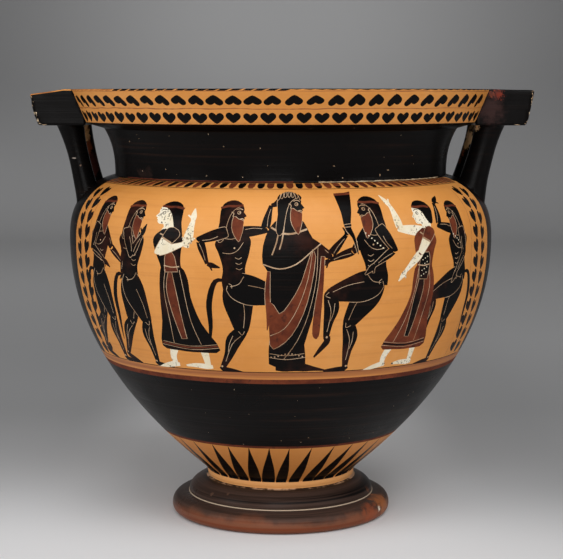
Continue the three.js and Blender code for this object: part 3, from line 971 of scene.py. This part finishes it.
def flaking_white():
    """White over the black, gone in small flakes."""
    white = Surface("white", (0.8, 0.69, 0.48), 0.6, 0.25)
    white.lay(white.clouds(50.0, 0.35, 0.7), (0.87, 0.8, 0.64))
    lost = white.times(white.clouds(420.0, 0.555, 0.6), white.clouds(26.0, 0.42, 0.6))
    white.lay(lost, (0.03, 0.02, 0.015))
    return white.done()


def scratched():
    """The clay at the bottom of a scratched line."""
    line = Surface("scratched line", (0.36, 0.21, 0.11), 0.6, 0.25)
    line.lay(line.clouds(70.0, 0.35, 0.65), (0.6, 0.42, 0.27))
    return line.done()


def thin_brown():
    """Slip thinned with water, for lines."""
    brown = Surface("thinned slip", (0.33, 0.105, 0.026), 0.42, 0.35)
    brown.lay(brown.lines(0.38, 0.66), (0.6, 0.225, 0.048))
    brown.lay(brown.clouds(16.0, 0.58, 0.78), (0.18, 0.056, 0.018))
    return brown.done()


def worn_cream():
    """Pale clay where the surface has come away."""
    cream = Surface("worn clay", (0.56, 0.35, 0.19), 0.6, 0.25)
    cream.lay(cream.clouds(90.0, 0.35, 0.65), (0.7, 0.54, 0.36))
    return cream.done()


paints = [gloss_slip(), bare_clay(), matt_red(), flaking_white(), scratched(), thin_brown(), worn_cream()]

# Cutting the painting into the wall. The sheet is divided into small triangles along every painted
# outline, each triangle takes the colour of the topmost area over its middle, and the sheet is then
# wrapped round the wall. Foot, inside and rim top are spun from their outlines and close the vessel.
MILLIMETRE = 0.001
CLOSE_ROWS = 0.3
SHARP_ANGLE = math.radians(38)


def inside(points, outline):
    """For each point, whether it lies within a closed outline."""
    x, y = points[:, 0], points[:, 1]
    found = np.zeros(len(points), bool)
    for (ax, ay), (bx, by) in zip(outline, np.roll(outline, -1, axis=0)):
        if ay == by:
            continue
        found ^= ((ay > y) != (by > y)) & (x < (bx - ax) * (y - ay) / (by - ay) + ax)
    return found


def unrolled_sheet():
    """The sheet's points and triangles, divided along every outline that was painted on it."""
    rows = sorted(set(row_lines) | {0.0, WALL_LENGTH})
    rows += [s for s in wall_along if min(abs(s - r) for r in rows) > CLOSE_ROWS]
    rows.sort()
    columns = np.linspace(SHEET_LEFT, SHEET_RIGHT, TURNS + 1)
    points = [Vector((x, s)) for s in rows for x in columns]
    edges = []
    for j, s in enumerate(rows):
        if s in row_lines:
            edges += [(j * (TURNS + 1) + i, j * (TURNS + 1) + i + 1) for i in range(TURNS)]
    for kind, outline in shapes:
        if isinstance(outline, tuple):
            continue
        first, count = len(points), len(outline)
        points += [Vector(p) for p in outline]
        edges += [(first + i, first + (i + 1) % count) for i in range(count)]
    found = delaunay_2d_cdt(points, edges, [], 0, 1e-6, False)
    return np.array([tuple(p) for p in found[0]]), np.array(found[2])


def colours_of(points, triangles):
    """For each triangle, the colour that lies topmost; a scratch doesn't show on bare clay."""
    middles = points[triangles].mean(axis=1)
    kinds = np.full(len(triangles), GLOSS)
    for kind, outline in shapes:
        if isinstance(outline, tuple):
            kinds[(middles[:, 1] > outline[0]) & (middles[:, 1] < outline[1])] = kind
            continue
        low, high = outline.min(axis=0), outline.max(axis=0)
        near = np.flatnonzero(np.all((middles >= low) & (middles <= high), axis=1))
        hit = near[inside(middles[near], outline)]
        if kind == INCISED:
            hit = hit[kinds[hit] != CLAY]
        kinds[hit] = kind
    return kinds


def wrapped(points):
    """Where points of the unrolled sheet lie on the vessel, in metres."""
    angle, s = points[:, 0] / BELLY_RADIUS, points[:, 1]
    r = radius_at(s)
    return np.column_stack([r * np.sin(angle), -r * np.cos(angle), height_at(s)]) * MILLIMETRE


def foot_outline():
    """From the bottom of the painted wall down over the foot, and up its hollow to the axis."""
    torus_edge = (TORUS, TORUS_WIDEST)
    outline = [STEM_RIDGE, (STEM + 1.1, 43.4), (STEM + 0.6, 40.8), (STEM - 0.9, FOOT_TOP)]
    outline += quarter_round((STEM, FOOT_TOP - 0.2), (CUSHION, CUSHION_TOP), (CUSHION, TORUS_TOP + 0.6), 12)
    outline += quarter_round((CUSHION - 0.8, TORUS_TOP), (TORUS, TORUS_TOP), torus_edge, 12)
    outline += quarter_round(torus_edge, (TORUS, 0), (REST_OUTER, 0), 8)[1:]
    outline += [(REST_INNER, 0), (REST_INNER - 1, 1.5), (67, 35), (60, 36.5), (0, 39)]
    return outline


def hollow_outline():
    """The inside of the vessel as a closed shape, from the axis at the floor up and out of the mouth."""
    bowl, shoulder, neck = wall_outline(24, 14, 6)
    outside = bowl + shoulder + neck
    inner = []
    for before, here, after in zip(outside, outside[1:], outside[2:]):
        along = np.array(after) - np.array(before)
        along /= np.linalg.norm(along)
        inner.append((here[0] - along[1] * WALL, here[1] + along[0] * WALL))
    inner = [p for p in inner if p[1] > FOOT_TOP + 14]
    mouth = [(MOUTH_RADIUS, RIM_TOP - 3), (MOUTH_RADIUS + 0.7, RIM_TOP - 0.7),
             (MOUTH_RADIUS + 3.5, RIM_TOP + 1)]
    return [(0, FOOT_TOP + 11), (60, FOOT_TOP + 11.6)] + inner + mouth + [(0, RIM_TOP + 1)]


def spun(bm, outline, turns=TURNS):
    """Turns an outline about the wheel's axis and returns its faces."""
    before = set(bm.faces)
    verts = [bm.verts.new((r * MILLIMETRE, 0, z * MILLIMETRE)) for r, z in outline]
    edges = [bm.edges.new(pair) for pair in zip(verts, verts[1:])]
    bmesh.ops.spin(bm, geom=verts + edges, cent=(0, 0, 0), axis=(0, 0, 1), dvec=(0, 0, 0),
                   angle=2 * math.pi, steps=turns, use_merge=True, use_duplicate=False)
    return [f for f in bm.faces if f not in before]


def closed_mesh(bm, name):
    """The finished mesh with every paint as a slot."""
    bmesh.ops.remove_doubles(bm, verts=bm.verts, dist=3e-6)
    bmesh.ops.recalc_face_normals(bm, faces=bm.faces)
    mesh = bpy.data.meshes.new(name)
    bm.to_mesh(mesh)
    bm.free()
    for material in paints:
        mesh.materials.append(material)
    return mesh


def thrown_solid():
    """The vessel before its inside is cut out: the painted wall closed by its foot and a flat top."""
    sheet_points, triangles = unrolled_sheet()
    mesh = bpy.data.meshes.new("painted wall")
    mesh.from_pydata(wrapped(sheet_points).tolist(), [], triangles.tolist())
    mesh.polygons.foreach_set("material_index", colours_of(sheet_points, triangles).astype(np.int32))
    bm = bmesh.new()
    for face in spun(bm, [tuple(wall[0])] + foot_outline()[1:]):
        middle = face.calc_center_median() / MILLIMETRE
        under = math.hypot(middle.x, middle.y) < REST_OUTER - 1 and middle.z < TORUS_TOP - 4
        hollow = math.hypot(middle.x, middle.y) < STEM - 6
        face.material_index = CLAY if middle.z > FOOT_TOP or under or hollow else GLOSS
    spun(bm, [tuple(wall[-1]), (205, RIM_TOP), (0, RIM_TOP)])
    bm.from_mesh(mesh)
    return closed_mesh(bm, "thrown solid")


# The handles: at each side a flat plate level with the rim, on two round columns that lean outwards
# and stand on the shoulder. They are modelled by hand, so their edges are soft, worn and chipped.
PLATE_INNER, PLATE_UNDER, PLATE_EDGE_SLOPE, PLATE_WIDTH = 199.3, 413, 7.5, 116
PLATE_CORE = Vector((228, 0, 431))
PLATE_BEVEL, PLATE_GRID = 2.2, 3.6
# For each side: (how far out the plate reaches, how much it droops)
PLATE_ENDS = {-1: (256.8, 5.0), 1: (259.5, 0.8)}
# (place of a chip, its size and its depth)
PLATE_CHIPS = {-1: [((257, -20, 446), 9, 1.6), ((250, -57, 414), 8, 2.2), ((256, -57, 440), 6, 1.4),
                    ((257, 30, 444), 7, 1.5)],
               1: [((259, -57, 448), 4, 0.7), ((252, -56, 414), 5, 1.3), ((259, 12, 448), 8, 1.4)]}
COLUMN_SPREAD = 34
# (radius of a column, how far out its foot stands, how far out its head)
COLUMNS = {-1: (10.6, 200.2, 217.6), 1: (12.0, 198.8, 216.6)}
COLUMN_FOOT, COLUMN_HEAD, COLUMN_STEPS, COLUMN_TURNS = 325, 431.5, 30, 32
COLUMN_LEAN, HEAD_FLARE, FOOT_FLARE, RIGHT_FOOT_SPREAD = 1.4, 3.5, 5, 3.2


def soft_plate(outer, droop):
    """A plate drawn in side view and out across its width, its edges soft, divided for the chips."""
    bm = bmesh.new()
    section = [(PLATE_INNER, RIM_TOP), (PLATE_INNER, PLATE_UNDER), (outer - PLATE_EDGE_SLOPE, PLATE_UNDER),
               (outer, RIM_TOP - droop), (RIM_TOP_RADIUS, RIM_TOP)]
    face = bm.faces.new([bm.verts.new((x, -PLATE_WIDTH / 2, z)) for x, z in section])
    drawn = bmesh.ops.extrude_face_region(bm, geom=[face])["geom"]
    drawn = [v for v in drawn if isinstance(v, bmesh.types.BMVert)]
    bmesh.ops.translate(bm, vec=(0, PLATE_WIDTH, 0), verts=drawn)
    bmesh.ops.recalc_face_normals(bm, faces=bm.faces)
    sharp = [e for e in bm.edges if e.calc_face_angle() > 0.4]
    bmesh.ops.bevel(bm, geom=sharp, offset=PLATE_BEVEL, segments=3, profile=0.5, affect="EDGES",
                    clamp_overlap=True)
    half = PLATE_WIDTH / 2
    for axis, (low, high) in enumerate(((PLATE_INNER, outer), (-half, half), (PLATE_UNDER, RIM_TOP))):
        place = low + 3
        while place < high:
            normal = [0, 0, 0]
            normal[axis] = 1
            bmesh.ops.bisect_plane(bm, geom=list(bm.verts) + list(bm.edges) + list(bm.faces), dist=1e-4,
                                   plane_co=[place * n for n in normal], plane_no=normal)
            place += PLATE_GRID
    bmesh.ops.triangulate(bm, faces=bm.faces)
    return bm


def wear_plate(bm, side, outer, droop):
    """Bare clay along the left plate's front edge, and pale wear at the corners of both."""
    for face in bm.faces:
        middle = face.calc_center_median()
        x, y, z = middle
        edge = RIM_TOP - droop * max(0, (x - RIM_TOP_RADIUS) / (outer - RIM_TOP_RADIUS))
        end = outer - PLATE_EDGE_SLOPE * (RIM_TOP - z) / (RIM_TOP - PLATE_UNDER)
        corner = x > end - 2.6 or z < PLATE_UNDER + 1 and x > 238
        if side < 0 and y < -56.3 and z > edge - 1.1:
            face.material_index = BROWN if x > 230 else CLAY
        elif y < -56.6 and corner and noise.noise(middle) > 0.22:
            face.material_index = CREAM


def plate_mesh(side):
    """One plate, softened, worn and chipped."""
    outer, droop = PLATE_ENDS[side]
    bm = soft_plate(outer, droop)
    wear_plate(bm, side, outer, droop)
    for v in bm.verts:
        if v.co.z > RIM_TOP - 0.5 and v.co.x < RIM_TOP_RADIUS or v.co.x < PLATE_INNER + 1:
            continue
        sink = 0.25 + 0.25 * noise.noise(v.co * 0.06)
        for place, size, depth in PLATE_CHIPS[side]:
            near = (v.co - Vector(place)).length / size
            sink += depth * max(0, 1 - near * near) * (0.75 + 0.5 * noise.noise(v.co * 0.4))
        towards = Vector((PLATE_CORE.x, v.co.y * 0.9, PLATE_CORE.z)) - v.co
        v.co += towards.normalized() * sink
    for v in bm.verts:
        v.co = Vector((v.co.x * side, v.co.y, v.co.z)) * MILLIMETRE
    return closed_mesh(bm, "plate")


def column_middle(side, z):
    """How far out from the vessel's axis the middle of a column is at a height."""
    foot_x, top_x = COLUMNS[side][1:]
    share = (z - COLUMN_FOOT) / (PLATE_UNDER - COLUMN_FOOT)
    lean = (top_x - foot_x) * max(0, share) ** COLUMN_LEAN
    return foot_x + lean - 4 * max(0, 1 - share) ** 4 - spread_foot(side, share)


def spread_foot(side, share):
    """How much the columns at the right widen towards the shoulder, on their inner side."""
    return RIGHT_FOOT_SPREAD * max(0, 1 - share) if side > 0 else 0


def column_mesh(side, across):
    """One column, wider where it meets plate and shoulder, and a little uneven."""
    bm = bmesh.new()
    outline = [(0, COLUMN_FOOT)]
    for i in range(COLUMN_STEPS + 1):
        z = COLUMN_FOOT + (COLUMN_HEAD - COLUMN_FOOT) * i / COLUMN_STEPS
        share = (z - COLUMN_FOOT) / (PLATE_UNDER - COLUMN_FOOT)
        flare = HEAD_FLARE * min(1, share) ** 6 + FOOT_FLARE * max(0, 1 - share) ** 4
        outline.append((COLUMNS[side][0] + (flare + spread_foot(side, share)), z))
    spun(bm, outline + [(0, COLUMN_HEAD)], COLUMN_TURNS)
    for v in bm.verts:
        x, y, z = v.co / MILLIMETRE
        wobble = 0.35 * noise.noise(Vector((x, y + across + 90 * side, z)) * 0.05)
        uneven = 1 + wobble / 12
        v.co = Vector((side * (x * uneven + column_middle(side, z)), y * uneven + across, z)) * MILLIMETRE
    return closed_mesh(bm, "column")


def hollow_mesh():
    """The inside as a body that is cut out."""
    bm = bmesh.new()
    spun(bm, hollow_outline())
    return closed_mesh(bm, "hollow")


def combined(base, parts):
    """One closed mesh: the base with each (operation, mesh) of the parts joined on or cut out."""
    body = bpy.data.objects.new("combined", base)
    bpy.context.scene.collection.objects.link(body)
    helpers = []
    for operation, mesh in parts:
        helper = bpy.data.objects.new("helper", mesh)
        bpy.context.scene.collection.objects.link(helper)
        helpers.append(helper)
        cut = body.modifiers.new("cut", "BOOLEAN")
        cut.operation = operation
        cut.object = helper
        cut.solver = "MANIFOLD"
    bpy.context.view_layer.update()
    evaluated = body.evaluated_get(bpy.context.evaluated_depsgraph_get())
    result = bpy.data.meshes.new_from_object(evaluated)
    for thing in helpers + [body]:
        bpy.data.objects.remove(thing)
    return result


def read(things, name, kind=np.int32, width=1):
    """One value, or three, of every corner, face or vertex."""
    values = np.empty(len(things) * width, kind)
    things.foreach_get(name, values)
    return values if width == 1 else values.reshape(-1, width)


def surface_normals(mesh):
    """True normals of the thrown outside, so that the cuts of the painting don't show as facets."""
    places = read(mesh.vertices, "co", float, 3) / MILLIMETRE
    r, z = np.hypot(places[:, 0], places[:, 1]), places[:, 2]
    slope = np.gradient(wall, axis=0)
    normals = np.zeros(places.shape)
    s = np.interp(z, wall[:, 1], wall_along)
    on_wall = np.abs(np.interp(s, wall_along, wall[:, 0]) - r) < 0.02
    fits = on_wall & (s > along_at(STEM_TOP + 1)) & (s < along_at(NECK_TOP - 2))
    along_r = np.interp(s, wall_along, slope[:, 0])
    along_z = np.interp(s, wall_along, slope[:, 1])
    size = np.hypot(along_r, along_z)
    radial, upward = along_z / size, -along_r / size
    across = np.maximum(r, 1)
    fitted = np.column_stack([places[:, 0] / across * radial, places[:, 1] / across * radial, upward])
    normals[fits] = fitted[fits]
    return normals


parts = []
for side in (-1, 1):
    parts.append(("UNION", plate_mesh(side)))
    for across in (-COLUMN_SPREAD, COLUMN_SPREAD):
        parts.append(("UNION", column_mesh(side, across)))
parts.append(("DIFFERENCE", hollow_mesh()))
krater_mesh = combined(thrown_solid(), parts)
krater_mesh.name = "krater"
krater_mesh.shade_smooth()
krater_mesh.set_sharp_from_angle(angle=SHARP_ANGLE)
krater_mesh.normals_split_custom_set_from_vertices(surface_normals(krater_mesh).tolist())

# How the surface is laid flat: the painted wall in two rows, front and back, with more room for the
# frieze and the rim than for the plain bands, and foot, inside and handles in a strip beside them.
# Each pair in ROOM is a distance up the wall and where that lies in its row.
ROOM = [(0, 0), (along_at(92), 50), (along_at(168.5), 90), (along_at(360), 345), (along_at(412), 365),
        (WALL_LENGTH, 415)]
WALL_MIDDLE, WALL_SPREAD, WALL_ROW = 0.395, 0.78 / math.pi, 0.485
STRIP_MIDDLE, FOOT_SPREAD, INSIDE_SPREAD = 0.8975, 0.18 / math.pi, 0.09 / math.pi
FRONT_FOOT, BACK_FOOT, FOOT_ROW = 0.175, 0.325, 0.14
INSIDE_FOOT, INSIDE_ROW, LIP_FOOT, LIP_ROW = 0.005, 0.16, 0.475, 0.02
HANDLE_LEFT, HANDLE_TILE, HANDLE_SCALE = 0.802, 0.049, 0.00075
COLUMN_MIDDLE, COLUMN_HALF, COLUMN_SCALE = 0.0225, 0.0195, 0.001
COLUMN_AT, PLATE_TOP_AT, PLATE_SIDE_AT, PLATE_END_AT = 0.515, 0.62, 0.715, 0.752


def along_chain(chain, r, z):
    """For each (r, z) place, how far it is from an outline and what share of the way along it."""
    best, share_along, start = np.full(len(r), 1e9), np.zeros(len(r)), 0.0
    for (ar, az), (br, bz) in zip(chain, chain[1:]):
        length = math.hypot(br - ar, bz - az)
        share = np.clip(((r - ar) * (br - ar) + (z - az) * (bz - az)) / length ** 2, 0, 1)
        off = np.hypot(r - ar - (br - ar) * share, z - az - (bz - az) * share)
        nearer = off < best
        best[nearer] = off[nearer]
        share_along[nearer] = start + share[nearer] * length
        start += length
    return best, share_along / start


def turned_from(middle, angle):
    """Angles brought within half a turn of the middle of their face."""
    return middle + (angle - middle + math.pi) % (2 * math.pi) - math.pi


def lay_flat(mesh):
    """Gives every corner of every face its place on the flat layout."""
    corners, faces = len(mesh.loops), len(mesh.polygons)
    vertex_of = read(mesh.loops, "vertex_index")
    starts, totals = read(mesh.polygons, "loop_start"), read(mesh.polygons, "loop_total")
    normals = read(mesh.polygons, "normal", float, 3)
    places = read(mesh.vertices, "co", float, 3) / MILLIMETRE
    face_of = np.repeat(np.arange(faces), totals)
    x, y, z = places[vertex_of].T
    middles = np.add.reduceat(places[vertex_of], starts) / totals[:, None]
    face_angle = np.arctan2(middles[:, 0], -middles[:, 1])[face_of]
    r = np.hypot(x, y)
    angle = np.where(r < 1, face_angle, turned_from(face_angle, np.arctan2(x, -y)))
    front = np.abs(face_angle) < math.pi / 2
    half_angle = np.where(front, angle, angle - math.pi * np.sign(face_angle))
    flat = np.zeros((corners, 2))
    left = np.ones(corners, bool)

    def settle(chain, make):
        off, share = along_chain(chain, np.hypot(*places[:, :2].T), places[:, 2])
        fits = left & (np.maximum.reduceat(off[vertex_of], starts) < 0.1)[face_of]
        flat[fits] = np.column_stack(make(share[vertex_of]))[fits]
        left[fits] = False

    def wall_place(share):
        row = np.interp(share * WALL_LENGTH, *zip(*ROOM)) / ROOM[-1][1]
        return WALL_MIDDLE + half_angle * WALL_SPREAD, np.where(front, 0.005, 0.505) + row * WALL_ROW

    def foot_place(share):
        row = np.where(front, FRONT_FOOT, BACK_FOOT) + share * FOOT_ROW
        return STRIP_MIDDLE + half_angle * FOOT_SPREAD, row

    settle([tuple(p) for p in wall], wall_place)
    settle([tuple(wall[0])] + foot_outline()[1:], foot_place)
    inside_across = STRIP_MIDDLE + angle * INSIDE_SPREAD
    settle(hollow_outline(), lambda share: (inside_across, INSIDE_FOOT + share * INSIDE_ROW))
    settle([(MOUTH_RADIUS + 1, RIM_TOP), (RIM_TOP_RADIUS - RIM_LIP, RIM_TOP)],
           lambda share: (inside_across, LIP_FOOT + share * LIP_ROW))
    side = np.where(middles[:, 0] < 0, -1, 1)[face_of]
    near = np.where(middles[:, 1] < 0, 0, 1)[face_of]
    tile = HANDLE_LEFT + HANDLE_TILE * (near + (side > 0) * 2)
    column = left & (middles[:, 2] < PLATE_UNDER - 0.5)[face_of]
    middle_out = np.array([column_middle(a, b) for a, b in zip(side[column], z[column])])
    across = y[column] - np.where(near[column] == 0, -COLUMN_SPREAD, COLUMN_SPREAD)
    turn = np.zeros(corners)
    turn[column] = np.arctan2(across, np.abs(x[column]) - middle_out)
    total = np.bincount(face_of, np.cos(turn)), np.bincount(face_of, np.sin(turn))
    turn = turned_from(np.arctan2(total[1], total[0])[face_of], turn)
    column_across = tile + COLUMN_MIDDLE + turn * COLUMN_HALF / math.pi
    column_up = COLUMN_AT + (z - COLUMN_FOOT) * COLUMN_SCALE
    flat[column] = np.column_stack([column_across, column_up])[column]
    plate = left & ~column
    lies = np.abs(normals)
    out, across = (np.abs(x) - PLATE_INNER) * HANDLE_SCALE, (y + PLATE_WIDTH / 2) * HANDLE_SCALE
    up = (z - PLATE_UNDER) * HANDLE_SCALE
    top = plate & (lies[:, 2] >= lies[:, :2].max(axis=1))[face_of]
    end = plate & ~top & (lies[:, 0] > lies[:, 1])[face_of]
    under = (normals[:, 2] < 0)[face_of]
    top_tile = HANDLE_LEFT + HANDLE_TILE * (under + (side > 0) * 2)
    end_tile = HANDLE_LEFT + HANDLE_TILE * 2 * (side > 0)
    for chosen, u, v in ((plate, tile + out, PLATE_SIDE_AT + up),
                         (top, top_tile + out, PLATE_TOP_AT + across),
                         (end, end_tile + across, PLATE_END_AT + up)):
        flat[chosen] = np.column_stack([u, v])[chosen]
    mesh.uv_layers.new(name="OFBake").data.foreach_set("uv", flat.ravel())


lay_flat(krater_mesh)

krater = bpy.data.objects.new("krater", krater_mesh)
bpy.context.scene.collection.objects.link(krater)
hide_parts("krater")
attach(krater, "root")

# The stage: a pale floor that sweeps up into a grey wall behind, with painted light making it brightest just
# round the foot, a painted pool of light on the wall, and painted shade further off.
SWEEP_START, SWEEP_RADIUS, SWEEP_TOP, SWEEP_STEPS = 3.2, 1.3, 4.5, 16
STAGE_HALF_WIDTH = 4.0

bm = bmesh.new()
line = [(y, 0.0) for y in (-STAGE_HALF_WIDTH, -1.0, 0.0, 0.6, SWEEP_START)]
line += [(SWEEP_START + SWEEP_RADIUS * math.sin(a), SWEEP_RADIUS * (1 - math.cos(a)))
         for a in (math.pi / 2 * i / SWEEP_STEPS for i in range(1, SWEEP_STEPS + 1))]
line.append((SWEEP_START + SWEEP_RADIUS, SWEEP_TOP))
verts = [bm.verts.new((-STAGE_HALF_WIDTH, y, z)) for y, z in line]
edges = [bm.edges.new(pair) for pair in zip(verts, verts[1:])]
drawn = bmesh.ops.extrude_edge_only(bm, edges=edges)["geom"]
drawn = [v for v in drawn if isinstance(v, bmesh.types.BMVert)]
bmesh.ops.translate(bm, vec=(2 * STAGE_HALF_WIDTH, 0, 0), verts=drawn)
bmesh.ops.recalc_face_normals(bm, faces=bm.faces)
for face in bm.faces:
    face.smooth = True
floor_mesh = bpy.data.meshes.new("floor")
bm.to_mesh(floor_mesh)
bm.free()
# The middle of the pool of light painted on the wall.
PAINTED_LIGHT_ON_WALL = (0.0, 4.5, 0.72)


def greys(value):
    """A grey that is a trace bluish."""
    return (value, value, value + 0.005)


painted_light_backdrop = Surface("painted_light_backdrop", (0.84, 0.84, 0.85), 0.75, 0.2)
x, y, z = (painted_light_backdrop.axis(name) for name in "XYZ")
# Painted shade: darker going back from the vessel and towards the front, lighter again towards the foot of
# the wall.
for start, end, grey in ((-0.02, 0.6, 0.4), (0.8, 2.4, 0.66), (-0.3, -1.3, 0.45)):
    painted_light_backdrop.lay(painted_light_backdrop.ramp(y, start, end), greys(grey))
# Painted shade towards the right.
painted_light_backdrop.lay(painted_light_backdrop.ramp(x, 0.05, 0.45), greys(0.56), 0.5)
# Painted shade at the right and the left, in a band from beside the vessel to behind it, deeper at the right.
behind = painted_light_backdrop.times(painted_light_backdrop.ramp(y, -0.22, 0.12), painted_light_backdrop.ramp(y, 1.3, 0.5))
painted_light_backdrop.lay(painted_light_backdrop.times(painted_light_backdrop.ramp(x, 0.1, 0.36), behind), greys(0.26), 0.58)
painted_light_backdrop.lay(painted_light_backdrop.times(painted_light_backdrop.ramp(x, -0.22, -0.42), behind), greys(0.35), 0.4)
# Painted light: the floor just round the foot is made brighter, against the shadow there.
aside = painted_light_backdrop.sums("ABSOLUTE", painted_light_backdrop.sums("ADD", x, 0.02))
painted_light_near_foot = painted_light_backdrop.times(painted_light_backdrop.ramp(aside, 0.27, 0.09), painted_light_backdrop.ramp(y, -0.03, 0.15))
painted_light_backdrop.lay(painted_light_backdrop.times(painted_light_near_foot, painted_light_backdrop.ramp(y, 0.9, 0.4)), greys(0.95), 0.85)
# Painted light: a pool of light on the wall, brightest in its middle and darker towards the corners.
from_painted_light = vectors(painted_light_backdrop.tree, "DISTANCE", painted_light_backdrop.place, PAINTED_LIGHT_ON_WALL, "Value")
wall_painted_light = mixed(painted_light_backdrop.tree, painted_light_backdrop.ramp(from_painted_light, 1.25, 0.15), greys(0.42), greys(0.78))
painted_light_backdrop.lay(painted_light_backdrop.ramp(z, 0.05, 0.55), wall_painted_light)
floor_mesh.materials.append(painted_light_backdrop.done())
floor = bpy.data.objects.new("floor", floor_mesh)
bpy.context.scene.collection.objects.link(floor)

# Light: a broad soft lamp over and before the vessel, and a dimmer one at each side. Each is
# (name, place, height it is aimed at, size in metres, power in watts).
LAMPS = (("over", (0.35, -1.7, 2.6), 0.2, 2.2, 50), ("front", (-0.3, -3.2, 1.1), 0.15, 1.8, 33),
         ("left", (-2.4, -1.2, 1.3), 0.25, 1.6, 22), ("right", (2.4, -1.2, 1.3), 0.25, 1.6, 15))
ROOM_GREY, ROOM_LIGHT = (0.5, 0.5, 0.5, 1), 0.2

for name, lamp_place, aim_height, size, power in LAMPS:
    lamp = bpy.data.objects.new(name, bpy.data.lights.new(name, "AREA"))
    lamp.data.size = size
    lamp.data.energy = power
    lamp.location = lamp_place
    aim = Vector((0, 0, aim_height)) - Vector(lamp_place)
    lamp.rotation_euler = aim.to_track_quat("-Z", "Y").to_euler()
    bpy.context.scene.collection.objects.link(lamp)
world = bpy.data.worlds.new("room")
world.use_nodes = True
background = world.node_tree.nodes["Background"]
background.inputs["Color"].default_value = ROOM_GREY
background.inputs["Strength"].default_value = ROOM_LIGHT
bpy.context.scene.world = world
bpy.context.scene.view_settings.view_transform = "Standard"
